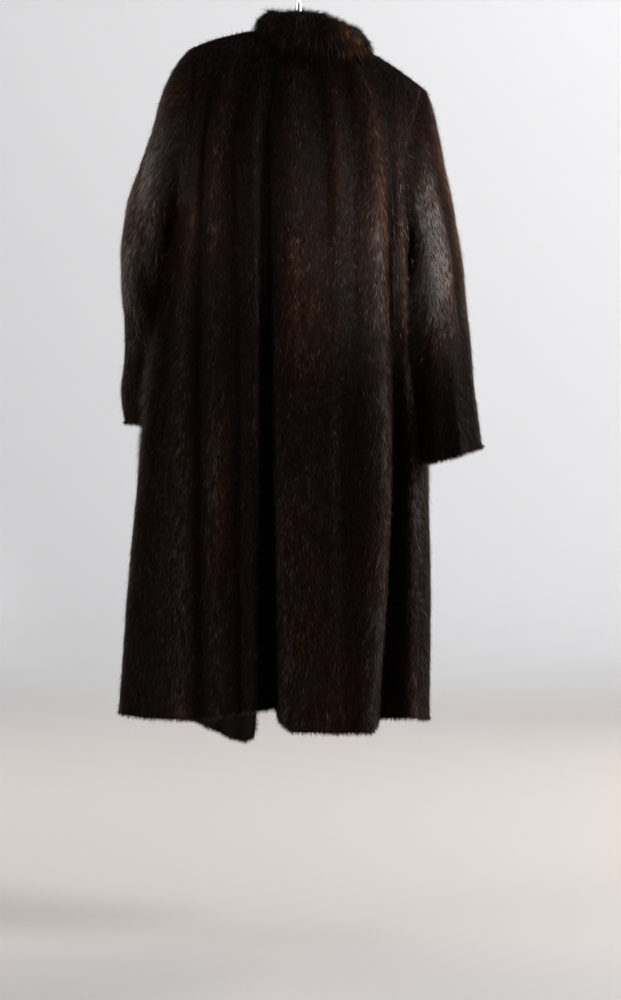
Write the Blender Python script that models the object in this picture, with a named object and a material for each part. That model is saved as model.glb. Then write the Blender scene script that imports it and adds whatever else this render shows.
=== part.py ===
"""A full-length fur coat that hangs, unfastened and a little askew, on a plain hanger.

Metres, +Z up. The origin is the inside top of the hanger's hook, where it bears on a rod.
The coat's back faces -Y and +X is the wearer's right. Tables are in millimetres.

The coat is one skin of quads that its panels share, so that seams meet exactly: the points of the skin
lie on the fur's outer surface before folds, RISE moves them out along their normals into folds, and
each panel is then given its own wall of pelt and pile and drawn back a little from its seams.
"""

import math
from collections import namedtuple

import bmesh
import bpy
import numpy as np

MM = 0.001

# Walls and gaps.
WALL = 9 * MM
SEAM_GAP = 0.3 * MM

# The hang: one shoulder is low, and the slant dies out towards the hem.
SLANT = 0.174
SLANT_REACH = 200 * MM
SLANT_LEVEL_AT = -1200 * MM

# Heights of the straight coat, below the hook.
ARMPIT_Z = -470 * MM
SHOULDER_POINT_Z = -179 * MM
NECK_POINT_Z = -126 * MM
NECK_BACK_DIP = 20 * MM
NECK_FRONT_DIP = 109 * MM
SHOULDER_ARCH = 5 * MM

# The neck hole, and the armhole's reach to the back and to the front.
NECK_CENTRE_X = 22 * MM
NECK_HALF_WIDTH = 67 * MM
NECK_BACK_DEPTH = 48 * MM
NECK_FRONT_DEPTH = 60 * MM
ARMHOLE_DEPTH = 70 * MM

# How the coat's sections swell: depth at each level, and the exponent of their rounded outline.
BACK_DEPTHS = (78, 80, 86, 90, 95, 100)
FRONT_DEPTHS = (74, 80, 84, 90, 97, 105)
BACK_ROUNDING = 2.4
FRONT_ROUNDING = 2.0
SHOULDER_ROUNDING = 8

# Rows of the skin above and below the armpit, and columns between two guides.
UPPER_ROWS = 10
LOWER_ROWS = 15
SEAM_COLUMNS = 3
GUIDE_COLUMNS = 2
EASING_ROUNDS = 3

# A guide is a line that a fold follows down the coat. Its x and its rise out of the skin are given at
# the levels top, chest, armpit, waist, knee and hem, and hem_z is where it ends.
Guide = namedtuple("Guide", "name x rise hem_z")
LAST_LEVEL = 5
ARMPIT_LEVEL = 2

LEFT_SEAM = Guide("left_seam", (-177, -189, -209, -255, -287, -309), (0, 0, 0, 0, 0, 0), -1280)
RIGHT_SEAM = Guide("right_seam", (206, 174, 190, 213, 224, 223), (0, 0, 0, 0, 0, 0), -1290)

BACK_GUIDES = (
    LEFT_SEAM,
    Guide("left_turn", (-157, -174, -190, -228, -245, -260), (0, 0, 0, -5, -7, -6), -1283),
    Guide("left_ridge", (-137, -163, -175, -192, -195, -196), (0, 3, 5, 6, 8, 8), -1281),
    Guide("left_groove", (-115, -151, -160, -165, -165, -162), (0, -2, -3, -4, -4, -5), -1279),
    Guide("left_rib", (-93, -136, -141, -143, -141, -136), (0, 6, 6, 5, 7, 8), -1275),
    Guide("stripe_groove", (-70, -104, -102, -100, -100, -97), (0, -4, -5, -4, -5, -6), -1270),
    Guide("neck_left", (-45, -77, -75, -73, -71, -70), (0, 4, 5, 5, 6, 6), -1265),
    Guide("mid_valley", (-34, -51, -53, -49, -44, -39), (0, -8, -14, -24, -30, -34), -1266),
    Guide("lobe_lip", (-20, -39, -41, -37, -34, -29), (0, 0, 2, 8, 14, 20), -1284),
    Guide("lobe_left", (0, -4, -5, -11, -12, -9), (0, 6, 10, 20, 28, 34), -1297),
    Guide("lobe_hollow", (24, 43, 45, 50, 50, 50), (0, -4, 4, 20, 30, 38), -1299),
    Guide("lobe_rib", (48, 63, 65, 68, 71, 74), (0, 3, 8, 17, 27, 36), -1299),
    Guide("lobe_groove", (70, 92, 92, 92, 94, 94), (0, -3, 4, 20, 31, 40), -1299),
    Guide("neck_right", (89, 127, 129, 134, 131, 117), (0, 8, 16, 30, 38, 44), -1298),
    Guide("lobe_turn", (118, 141, 146, 152, 145, 127), (0, 3, 8, 14, 18, 20), -1288),
    Guide("side_valley", (147, 152, 160, 164, 154, 141), (0, -3, -11, -28, -32, -34), -1284),
    Guide("side_rib", (177, 162, 174, 188, 190, 187), (0, -1, -1, 4, 4, 4), -1283),
    RIGHT_SEAM,
)

FRONT_LEFT_GUIDES = (
    LEFT_SEAM,
    Guide("side_turn", (-157, -174, -190, -226, -246, -262), (0, 0, 1, 2, 4, 6), -1289),
    Guide("side_groove", (-137, -166, -174, -194, -206, -216), (0, -3, -4, -6, -9, -10), -1298),
    Guide("side_rib", (-115, -150, -152, -168, -178, -190), (0, 4, 5, 6, 10, 12), -1306),
    Guide("mid_groove", (-93, -130, -130, -142, -151, -164), (0, -3, -4, -6, -8, -8), -1317),
    Guide("mid_rib", (-70, -108, -106, -116, -126, -141), (0, 4, 6, 8, 10, 12), -1330),
    Guide("neck_left", (-45, -80, -80, -90, -104, -122), (0, 0, 0, -2, -4, -6), -1338),
    Guide("chest_rib", (-28, -52, -54, -66, -85, -110), (0, 2, 4, 6, 7, 8), -1343),
    Guide("edge_fold", (-8, -22, -27, -43, -67, -95), (0, 0, 0, -1, -2, -2), -1345),
    Guide("front_edge", (14, 8, 0, -22, -50, -78), (0, 0, 0, 1, 2, 3), -1339),
)

FRONT_RIGHT_GUIDES = (
    RIGHT_SEAM,
    Guide("side_turn", (177, 164, 176, 195, 202, 201), (0, 0, 1, 2, 4, 5), -1293),
    Guide("side_groove", (147, 150, 158, 170, 174, 172), (0, -3, -4, -5, -8, -9), -1297),
    Guide("side_rib", (118, 133, 137, 144, 146, 143), (0, 4, 5, 6, 9, 11), -1302),
    Guide("neck_right", (89, 112, 113, 115, 116, 112), (0, -2, -3, -4, -7, -8), -1307),
    Guide("chest_rib", (80, 86, 85, 84, 82, 76), (0, 3, 5, 6, 9, 10), -1311),
    Guide("mid_groove", (63, 62, 57, 52, 46, 38), (0, -2, -2, -4, -5, -6), -1314),
    Guide("edge_fold", (48, 42, 34, 26, 18, 10), (0, 0, 1, 1, 2, 2), -1316),
    Guide("front_edge", (34, 24, 14, 2, -6, -12), (0, 0, 0, 1, 2, 3), -1318),
)

# A ring of a sleeve: its outer and inner point, its half depth along Y, how far it hangs forward, and how
# far it is turned about the vertical, in degrees. The first ring is the armhole itself.
Ring = namedtuple("Ring", "outer_x outer_z inner_x inner_z depth forward turn")

LEFT_RINGS = (
    Ring(-177, -179, -209, -470, 70, 0, 0),
    Ring(-192, -192, -213, -475, 70, 2, 0),
    Ring(-212, -219, -216, -484, 70, 6, 2),
    Ring(-231, -260, -216, -498, 70, 12, 4),
    Ring(-252, -318, -216, -516, 70, 19, 7),
    Ring(-274, -376, -216, -538, 69, 28, 10),
    Ring(-288, -439, -216, -564, 68, 39, 13),
    Ring(-294, -505, -216, -594, 67, 51, 16),
    Ring(-296, -568, -215, -627, 66, 64, 18),
    Ring(-299, -633, -213, -664, 65, 77, 20),
    Ring(-297, -701, -211, -708, 64, 89, 20),
    Ring(-304, -765, -210, -764, 63, 98, 20),
    Ring(-297, -816, -209, -826, 62, 104, 20),
)

RIGHT_RINGS = (
    Ring(206, -179, 190, -470, 70, 0, 0),
    Ring(216, -192, 195, -477, 70, -3, 1),
    Ring(226, -221, 198, -488, 70, -8, 2),
    Ring(235, -263, 199, -503, 70, -14, 3),
    Ring(245, -316, 197, -520, 69, -23, 4),
    Ring(256, -370, 195, -540, 67, -34, 6),
    Ring(266, -430, 195, -562, 64, -44, 7),
    Ring(275, -484, 196, -587, 61, -52, 8),
    Ring(282, -542, 198, -615, 59, -58, 8),
    Ring(287, -607, 201, -652, 57, -60, 8),
    Ring(292, -671, 205, -695, 55, -60, 8),
    Ring(300, -733, 209, -750, 54, -58, 7),
    Ring(308, -788, 214, -816, 54, -57, 7),
)
ARMHOLE_FADE_RINGS = 6

# A crease on a sleeve: the ring and the angle round it where it starts and ends (0 is inside, 90 back,
# 180 outside, 270 front), its half width in rings and in degrees, and its rise.
Crease = namedtuple("Crease", "ring_a angle_a ring_b angle_b rings degrees rise")

LEFT_CREASES = (
    Crease(4.6, 150, 7.4, 60, 0.9, 34, -11),
    Crease(6.4, 170, 8.6, 90, 0.9, 30, 6),
    Crease(8.8, 160, 9.4, 70, 0.8, 40, -5),
    Crease(3.0, 110, 11.0, 120, 6.0, 26, 5),
    Crease(6.0, 240, 8.0, 320, 0.9, 34, -8),
)

RIGHT_CREASES = (
    Crease(5.0, 128, 12.0, 118, 3.0, 20, -9),
    Crease(4.0, 75, 11.0, 80, 5.0, 30, 6),
    Crease(6.8, 60, 7.6, 150, 0.8, 30, -6),
    Crease(6.0, 240, 8.0, 320, 0.9, 34, -8),
)

# The collar's section at the front edges, at the two neck points and at the centre back: the height of
# its stand, the radius of its roll, the length of its fall and the fall's angle out from the stand.
CollarSection = namedtuple("CollarSection", "stand roll fall flare")
COLLAR_FRONT = CollarSection(9, 6, 66, 86)
COLLAR_LEFT = CollarSection(15, 3.5, 22, 44)
COLLAR_RIGHT = CollarSection(5, 3.5, 22, 50)
COLLAR_BACK = CollarSection(36, 6.5, 59, 15)
COLLAR_LEAN_GAIN = 0.93
COLLAR_OPENING_RATE = 1.6
COLLAR_STAND_ROWS = 3
COLLAR_ROLL_ROWS = 5
COLLAR_FALL_ROWS = 4

# Hanger and hook.
HANGER_CLEARANCE = 3 * MM
HANGER_HEIGHT = 20 * MM
HANGER_DEPTH = 16 * MM
HANGER_LEFT_X = -163 * MM
HANGER_RIGHT_X = 186 * MM
HANGER_CROWN_Z = -118 * MM
HANGER_SECTIONS = 24
HOOK_WIRE = 6 * MM
HOOK_INSIDE = 19 * MM
HOOK_SHANK_TOP = -56 * MM
FERRULE_DIAMETER = 12 * MM
FERRULE_TOP = -76 * MM
FERRULE_BOTTOM = -93 * MM

FUR_BROWN = (0.016, 0.009, 0.006)
COLLAR_BROWN = (0.022, 0.013, 0.009)
HANGER_BLACK = (0.02, 0.02, 0.02)
HOOK_STEEL = (0.75, 0.73, 0.70)


def clear_scene():
    for obj in list(bpy.data.objects):
        bpy.data.objects.remove(obj, do_unlink=True)


def spline(values, position):
    """The value at a position along evenly spaced values, on a smooth curve through all of them."""
    last = len(values) - 1
    index = min(int(position), last - 1)
    part = position - index
    here = values[index]
    there = values[index + 1]
    before = values[index - 1] if index > 0 else 2 * here - there
    after = values[index + 2] if index + 2 <= last else 2 * there - here
    bend = 2 * before - 5 * here + 4 * there - after
    twist = 3 * (here - there) + after - before
    return here + 0.5 * part * (there - before + part * (bend + part * twist))


def smoothstep(value):
    value = min(max(value, 0.0), 1.0)
    return value * value * (3 - 2 * value)


def unit(vector):
    return vector / max(np.linalg.norm(vector), 1e-12)


def slanted(point):
    """The point of the straight coat, moved to where it hangs with one shoulder low."""
    x, y, z = point
    fade = smoothstep((z - SLANT_LEVEL_AT) / (ARMPIT_Z - SLANT_LEVEL_AT))
    reach = min(max(x, -SLANT_REACH), SLANT_REACH)
    return np.array((x, y, z - SLANT * reach * fade))


def slanted_sleeve(point, shoulder_x):
    """A sleeve hangs from its shoulder point, so all of it moves up or down as that point does."""
    return np.array((point[0], point[1], point[2] - SLANT * shoulder_x))


class Skin:
    """The coat's outer surface as points that neighbouring panels share."""

    def __init__(self):
        self.points = []
        self.rises = []
        self.straight = []
        self.panels = {}
        self.found = {}

    def add(self, point, rise=0.0, straight=0.0):
        """Adds a point, or finds the one that is already there. straight is the Y that folds lean to."""
        key = tuple(np.round(point, 7) + 0.0)
        if key not in self.found:
            self.found[key] = len(self.points)
            self.points.append(np.array(point))
            self.rises.append(rise)
            self.straight.append(np.array((0.0, straight, 0.0)))
        return self.found[key]

    def cover(self, name, grid, flip=False, wrap=False):
        """Lays quads over a grid of point numbers."""
        faces = self.panels.setdefault(name, [])
        columns = len(grid[0])
        for upper, lower in zip(grid, grid[1:]):
            for column in range(columns if wrap else columns - 1):
                after = (column + 1) % columns
                face = (upper[column], lower[column], lower[after], upper[after])
                faces.append(face[::-1] if flip else face)

    def normals(self):
        total = np.zeros((len(self.points), 3))
        for faces in self.panels.values():
            for face in faces:
                corners = [self.points[index] for index in face]
                total[list(face)] += unit(np.cross(corners[2] - corners[0], corners[3] - corners[1]))
        return np.array([unit(vector) for vector in total])

    def eased(self, normals, names, rounds):
        """The normals of the named panels, each made more like its neighbours', for walls that never cross."""
        pairs = set()
        for name in names:
            for face in self.panels[name]:
                for start, end in zip(face, face[1:] + face[:1]):
                    pairs |= {(start, end), (end, start)}
        starts, ends = np.array(sorted(pairs)).T
        for _ in range(rounds):
            total = normals.copy()
            np.add.at(total, starts, normals[ends])
            normals = np.array([unit(vector) for vector in total])
        return normals


def column_places(guide_count, seam_first, seam_last):
    """Guide coordinates of a panel's columns: closer together where the panel turns round to a seam."""
    places = [0.0]
    for interval in range(guide_count - 1):
        at_first = seam_first and interval == 0
        at_last = seam_last and interval == guide_count - 2
        steps = SEAM_COLUMNS if at_first or at_last else GUIDE_COLUMNS
        for step in range(1, steps + 1):
            part = step / steps
            if at_first:
                part = part * part
            elif at_last:
                part = 1 - (1 - part) ** 2
            places.append(interval + part)
    return places


def guide_value(rows, place, level):
    """The value between two guides, straight across and smooth down the coat."""
    index = min(int(place), len(rows) - 2)
    part = place - index
    return (1 - part) * spline(rows[index], level) + part * spline(rows[index + 1], level)


def guide_rise(rows, place, level):
    """The rise between guides, smooth both across and down the coat."""
    return spline(np.array([spline(row, level) for row in rows]), place)


def neck_shape(x, facing_back):
    """Height and depth of a panel's top edge: the shoulder seam, then the neckline."""
    across = (x - NECK_CENTRE_X) / NECK_HALF_WIDTH
    if abs(across) >= 1:
        shoulder_x = LEFT_SEAM.x[0] * MM if across < 0 else RIGHT_SEAM.x[0] * MM
        neck_x = NECK_CENTRE_X + math.copysign(NECK_HALF_WIDTH, across)
        part = (x - neck_x) / (shoulder_x - neck_x)
        arch = SHOULDER_ARCH * math.sin(math.pi * part)
        return NECK_POINT_Z + part * (SHOULDER_POINT_Z - NECK_POINT_Z) + arch, 0.0
    dip = NECK_BACK_DIP if facing_back else NECK_FRONT_DIP
    depth = NECK_BACK_DEPTH if facing_back else NECK_FRONT_DEPTH
    return NECK_POINT_Z - dip * (1 - across**2), depth * math.sqrt(1 - across**2)


def row_levels():
    """(level, share of the height above the armpit, share of the fall below it, armhole angle) by row."""
    rows = []
    for row in range(UPPER_ROWS):
        angle = math.pi * (1 - row / UPPER_ROWS)
        height = (1 - math.cos(angle)) / 2
        rows.append((ARMPIT_LEVEL * (1 - height), height, 0.0, angle))
    for row in range(LOWER_ROWS + 1):
        fall = row / LOWER_ROWS
        rows.append((ARMPIT_LEVEL + (LAST_LEVEL - ARMPIT_LEVEL) * fall, 0.0, fall, 0.0))
    return rows


def panel_grid(skin, guides, centre_table, facing_back):
    """The point numbers of a body panel, by row from the top and by column from its first guide."""
    xs = [np.array(guide.x) * MM for guide in guides]
    rises = [np.array(guide.rise) * MM for guide in guides]
    hems = [np.full(LAST_LEVEL + 1, guide.hem_z * MM) for guide in guides]
    depths = np.array(BACK_DEPTHS if facing_back else FRONT_DEPTHS) * MM
    rounding = BACK_ROUNDING if facing_back else FRONT_ROUNDING
    outward = -1.0 if facing_back else 1.0
    places = column_places(len(guides), True, guides[-1].name.endswith("seam"))
    grid = []
    for level, height, fall, angle in row_levels():
        left, right = (spline(np.array(seam.x) * MM, level) for seam in centre_table)
        centre = (left + right) / 2
        half_width = (right - left) / 2
        swell = spline(depths, level)
        row = []
        for place in places:
            x = guide_value(xs, place, level)
            top_z, top_depth = neck_shape(guide_value(xs, place, 0.0), facing_back)
            hem_z = guide_value(hems, place, 0.0)
            crown = math.sqrt(1 - height**SHOULDER_ROUNDING)
            inside = top_depth + (swell - top_depth) * crown if height else swell
            edge = min(ARMHOLE_DEPTH * math.sin(angle) / max(inside, MM), 1.0) ** rounding
            across = min(abs(x - centre) / half_width, 1.0) ** rounding
            depth = inside * (1 - across * (1 - edge)) ** (1 / rounding) if height < 1 else top_depth
            z = ARMPIT_Z + height * (top_z - ARMPIT_Z) + fall * (hem_z - ARMPIT_Z)
            rise = guide_rise(rises, place, level)
            row.append(skin.add(slanted((x, outward * depth, z)), rise, outward))
        grid.append(row)
    return grid


def ring_points(ring, side, count):
    """The points round a sleeve's ring, from its inner point round the back to the outer point and on."""
    outer = np.array((ring.outer_x, 0, ring.outer_z)) * MM
    inner = np.array((ring.inner_x, 0, ring.inner_z)) * MM
    turn = math.radians(ring.turn)
    half = (outer - inner) / 2
    half_turned = np.array((half[0] * math.cos(turn), side * half[0] * math.sin(turn), half[2]))
    deep = np.array((side * math.sin(turn), -math.cos(turn), 0)) * ring.depth * MM
    middle = (outer + inner) / 2 + np.array((0, ring.forward * MM, 0))
    angles = [2 * math.pi * index / count for index in range(count)]
    return [middle - half_turned * math.cos(a) + deep * math.sin(a) for a in angles]


def crease_rise(creases, ring, degrees):
    total = 0.0
    for crease in creases:
        along = (degrees - crease.angle_a) / (crease.angle_b - crease.angle_a)
        along = min(max(along, 0.0), 1.0)
        across = (ring - crease.ring_a) / (crease.ring_b - crease.ring_a)
        along = (along + min(max(across, 0.0), 1.0)) / 2
        away_ring = ring - (crease.ring_a + along * (crease.ring_b - crease.ring_a))
        away_angle = degrees - (crease.angle_a + along * (crease.angle_b - crease.angle_a))
        total += crease.rise * MM * math.exp(
            -((away_ring / crease.rings) ** 2) - (away_angle / crease.degrees) ** 2
        )
    return total


def sleeve_grid(skin, armhole, rings, creases, side):
    """The point numbers of a sleeve by ring. The armhole's own shape dies out over the first rings."""
    shoulder_x = rings[0].outer_x * MM
    count = len(armhole)
    ideal = [slanted_sleeve(point, shoulder_x) for point in ring_points(rings[0], side, count)]
    offsets = [skin.points[index] - point for index, point in zip(armhole, ideal)]
    grid = [armhole]
    for number, ring in enumerate(rings[1:], start=1):
        keep = max(0.0, 1 - number / ARMHOLE_FADE_RINGS) ** 1.5
        row = []
        for index, point in enumerate(ring_points(ring, side, count)):
            place = slanted_sleeve(point, shoulder_x) + keep * offsets[index]
            rise = crease_rise(creases, number, 360 * index / count)
            row.append(skin.add(place, rise * smoothstep(number / 2)))
        grid.append(row)
    return grid


def collar_section(across, side_section):
    """The collar's section by place: 0 at the centre back, 1 at the neck points and 2 at the fronts."""
    if across < 1:
        part = smoothstep(across)
        low, high = COLLAR_BACK, side_section
    else:
        part = smoothstep(COLLAR_OPENING_RATE * (across - 1))
        low, high = side_section, COLLAR_FRONT
    return CollarSection(*((1 - part) * a + part * b for a, b in zip(low, high)))


def collar_profile(section):
    """(out, up) from the neckline: up the stand, round the roll and down the fall."""
    stand = section.stand * MM
    roll = section.roll * MM
    fall = section.fall * MM
    flare = math.radians(section.flare)
    path = [(0.0, stand * row / COLLAR_STAND_ROWS) for row in range(1, COLLAR_STAND_ROWS + 1)]
    for row in range(1, COLLAR_ROLL_ROWS + 1):
        turn = (math.pi - flare) * row / COLLAR_ROLL_ROWS
        path.append((roll * (1 - math.cos(turn)), stand + roll * math.sin(turn)))
    out, up = path[-1]
    for row in range(1, COLLAR_FALL_ROWS + 1):
        length = fall * row / COLLAR_FALL_ROWS
        path.append((out + length * math.sin(flare), up - length * math.cos(flare)))
    return path


def collar_grid(skin, neckline, front_count):
    """The collar stands on the neckline, rolls over and falls outside. Columns run along the neckline."""
    points = np.array([skin.points[index] for index in neckline])
    surface = skin.normals()[neckline]
    last = len(neckline) - 1
    middle = last / 2
    columns = []
    for index, point in enumerate(points):
        before = points[max(index - 1, 0)]
        after = points[min(index + 1, last)]
        from_front = min(index, last - index)
        if from_front < front_count:
            across = 2 - from_front / front_count
        else:
            across = abs(index - middle) / (middle - front_count)
        lean = min(COLLAR_LEAN_GAIN * across, 1.0)
        rising = unit((1 - lean) * np.array((0.0, 0.0, 1.0)) + lean * surface[index])
        out = unit(np.cross(after - before, rising))
        columns.append([neckline[index]])
        section = collar_section(across, COLLAR_LEFT if index < middle else COLLAR_RIGHT)
        for away, up in collar_profile(section):
            columns[-1].append(skin.add(point + away * out + up * rising))
    return [list(row) for row in zip(*columns)]


def border_edges(faces):
    """The directed edges that only one face of a panel uses."""
    edges = {}
    for face in faces:
        for start, end in zip(face, face[1:] + face[:1]):
            edges[(start, end)] = face
    return {edge: face for edge, face in edges.items() if edge[::-1] not in edges}


def drawn_back(faces, points, normals, shared):
    """How far each point of a panel moves so that the panel stays clear of the one it is sewn to."""
    inward = {}
    for (start, end), face in border_edges(faces).items():
        if start not in shared or end not in shared:
            continue
        middle = sum(points[index] for index in face) / len(face)
        along = unit(points[end] - points[start])
        across = middle - (points[start] + points[end]) / 2
        normal = unit(normals[start] + normals[end])
        across = across - along * across.dot(along)
        across = unit(across - normal * across.dot(normal))
        for index in (start, end):
            inward.setdefault(index, []).append(across)
    moves = {}
    for index, directions in inward.items():
        mean = unit(sum(directions))
        share = max(mean.dot(directions[0]), 0.5)
        moves[index] = mean * SEAM_GAP / 2 / share
    return moves


def fur_material(name, colour):
    return material(name, colour, 0.55, 0.0)


def material(name, colour, roughness, metallic):
    made = bpy.data.materials.new(name)
    made.use_nodes = True
    shader = made.node_tree.nodes["Principled BSDF"]
    shader.inputs["Base Color"].default_value = (*colour, 1.0)
    shader.inputs["Roughness"].default_value = roughness
    shader.inputs["Metallic"].default_value = metallic
    return made


def add_object(name, mesh, finish):
    mesh.materials.append(finish)
    mesh.shade_smooth()
    mesh.set_sharp_from_angle(angle=math.radians(40))
    obj = bpy.data.objects.new(name, mesh)
    bpy.context.scene.collection.objects.link(obj)
    return obj


def solid_from(vertices, faces, name):
    """A mesh of the faces, with all of them turned outwards."""
    mesh = bpy.data.meshes.new(name)
    mesh.from_pydata([tuple(vertex) for vertex in vertices], [], faces)
    body = bmesh.new()
    body.from_mesh(mesh)
    bmesh.ops.recalc_face_normals(body, faces=body.faces)
    body.to_mesh(mesh)
    body.free()
    return mesh


def panel_solid(skin, normals, name, colour):
    """Gives one panel of the skin its wall: the fur's surface outside, the pelt's flesh side inside."""
    faces = skin.panels[name]
    others = set()
    for other, other_faces in skin.panels.items():
        if other != name:
            others.update(index for face in other_faces for index in face)
    numbers = sorted({index for face in faces for index in face})
    moves = drawn_back(faces, skin.points, normals, others & set(numbers))
    new_number = {index: place for place, index in enumerate(numbers)}
    outer = []
    inner = []
    for index in numbers:
        lean = unit(normals[index] + skin.straight[index])
        point = skin.points[index] + lean * skin.rises[index] + moves.get(index, 0.0)
        outer.append(point)
        inner.append(point - normals[index] * WALL)
    below = len(numbers)
    quads = [tuple(new_number[index] for index in face) for face in faces]
    walls = [tuple(place + below for place in reversed(quad)) for quad in quads]
    rims = []
    for start, end in border_edges(faces):
        a, b = new_number[start], new_number[end]
        if start < end:
            rims += [(b, a, b + below), (a, a + below, b + below)]
        else:
            rims += [(b, a, a + below), (b, a + below, b + below)]
    mesh = solid_from(outer + inner, quads + walls + rims, name)
    return add_object(name, mesh, fur_material(name + "_fur", colour))


def make_coat():
    skin = Skin()
    seams = (LEFT_SEAM, RIGHT_SEAM)
    back = panel_grid(skin, BACK_GUIDES, seams, True)
    front_left = panel_grid(skin, FRONT_LEFT_GUIDES, seams, False)
    front_right = panel_grid(skin, FRONT_RIGHT_GUIDES, seams, False)
    skin.cover("back", back)
    skin.cover("front_left", front_left, flip=True)
    skin.cover("front_right", front_right)
    upper = range(UPPER_ROWS + 1)
    for name, front, column, rings, creases, side in (
        ("sleeve_left", front_left, 0, LEFT_RINGS, LEFT_CREASES, -1),
        ("sleeve_right", front_right, -1, RIGHT_RINGS, RIGHT_CREASES, 1),
    ):
        behind = [back[row][column] for row in reversed(upper)]
        before = [front[row][0] for row in upper][1:-1]
        grid = sleeve_grid(skin, behind + before, rings, creases, side)
        skin.cover(name, grid, flip=side < 0, wrap=True)
    neck_left = column_of_guide(BACK_GUIDES, "neck_left")
    neck_right = column_of_guide(BACK_GUIDES, "neck_right")
    left_part = front_left[0][column_of_guide(FRONT_LEFT_GUIDES, "neck_left") + 1 :][::-1]
    right_part = front_right[0][column_of_guide(FRONT_RIGHT_GUIDES, "neck_right") + 1 :]
    neckline = left_part + back[0][neck_left : neck_right + 1] + right_part
    skin.cover("collar", collar_grid(skin, neckline, len(left_part)), flip=True)
    panels = ("back", "front_left", "front_right", "sleeve_left", "sleeve_right")
    normals = skin.eased(skin.normals(), panels, EASING_ROUNDS)
    for name in panels:
        panel_solid(skin, normals, name, FUR_BROWN)
    panel_solid(skin, normals, "collar", COLLAR_BROWN)


def column_of_guide(guides, name):
    places = column_places(len(guides), True, guides[-1].name.endswith("seam"))
    wanted = [guide.name for guide in guides].index(name)
    return places.index(float(wanted))


def loft(rings, name):
    """A closed solid through rings of points, with flat ends."""
    count = len(rings[0])
    vertices = [point for ring in rings for point in ring]
    faces = []
    for ring in range(len(rings) - 1):
        for index in range(count):
            after = (index + 1) % count
            low = ring * count
            faces.append((low + index, low + after, low + count + after, low + count + index))
    faces.append(tuple(range(count)))
    faces.append(tuple(len(vertices) - count + index for index in range(count)))
    return solid_from(vertices, faces, name)


def make_hanger():
    """Two arms that follow the shoulders from inside, joined by a low crown under the hook."""
    sides = 12
    rings = []
    for section in range(HANGER_SECTIONS + 1):
        x = HANGER_LEFT_X + (HANGER_RIGHT_X - HANGER_LEFT_X) * section / HANGER_SECTIONS
        across = min(abs(x - NECK_CENTRE_X) / NECK_HALF_WIDTH, 1.0)
        line_z, _ = neck_shape(x, True)
        crown = smoothstep(1 - abs(x) / (NECK_HALF_WIDTH - NECK_CENTRE_X))
        top = line_z - WALL - HANGER_CLEARANCE - (1 - across) * 2 * MM
        top = top + (HANGER_CROWN_Z - top) * crown
        end = min(section, HANGER_SECTIONS - section)
        taper = 0.6 + 0.4 * min(end / 2, 1.0)
        ring = []
        for side in range(sides):
            angle = 2 * math.pi * side / sides
            y = HANGER_DEPTH / 2 * taper * math.cos(angle)
            z = top - HANGER_HEIGHT / 2 + HANGER_HEIGHT / 2 * taper * math.sin(angle)
            ring.append(slanted((x, y, z)))
        rings.append(ring)
    add_object("hanger", loft(rings, "hanger"), material("hanger_plastic", HANGER_BLACK, 0.4, 0.0))


def make_hook():
    """A wire hook: a shank through its ferrule, out to one side and round over the rod to its tip."""
    radius = HOOK_INSIDE + HOOK_WIRE / 2
    centre_z = -HOOK_INSIDE
    path = [(0.0, FERRULE_TOP + SEAM_GAP), (0.0, HOOK_SHANK_TOP)]
    for degrees in range(-48, 205, 12):
        angle = math.radians(degrees)
        path.append((radius * math.cos(angle), centre_z + radius * math.sin(angle)))
    wire = bpy.data.curves.new("hanger_hook", "CURVE")
    wire.dimensions = "3D"
    wire.bevel_depth = HOOK_WIRE / 2
    wire.bevel_resolution = 3
    wire.use_fill_caps = True
    line = wire.splines.new("POLY")
    line.points.add(len(path) - 1)
    for point, (x, z) in zip(line.points, path):
        point.co = (x, 0.0, z, 1.0)
    wire.materials.append(material("hook_steel", HOOK_STEEL, 0.2, 1.0))
    bpy.context.scene.collection.objects.link(bpy.data.objects.new("hanger_hook", wire))


def make_ferrule():
    """The turned cap that the hook screws into, and the neck below it that stands on the hanger."""
    radius = FERRULE_DIAMETER / 2
    neck = FERRULE_DIAMETER * 0.38
    bottom = HANGER_CROWN_Z + SEAM_GAP
    edge = 1.2 * MM
    profile = (
        (radius - edge, FERRULE_TOP),
        (radius, FERRULE_TOP - edge),
        (radius, FERRULE_BOTTOM + edge),
        (radius - edge, FERRULE_BOTTOM),
        (neck, FERRULE_BOTTOM - edge),
        (neck, bottom),
    )
    sides = 16
    rings = []
    for across, z in profile:
        angles = [2 * math.pi * side / sides for side in range(sides)]
        rings.append([(across * math.cos(angle), across * math.sin(angle), z) for angle in angles])
    add_object("hanger_ferrule", loft(rings, "hanger_ferrule"), material("steel", HOOK_STEEL, 0.2, 1.0))


clear_scene()
make_coat()
make_hanger()
make_hook()
make_ferrule()
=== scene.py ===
"""A full-length fur coat on a hanger, dressed: pelts with their fur, and a finished hanger and hook.

The coat's tables are the ones of the part's own source, and its panels are made from them in the same way.
Each panel becomes a smooth patch, which carries a thin pelt and the hairs that lie down it.
"""

import math
from collections import namedtuple

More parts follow.
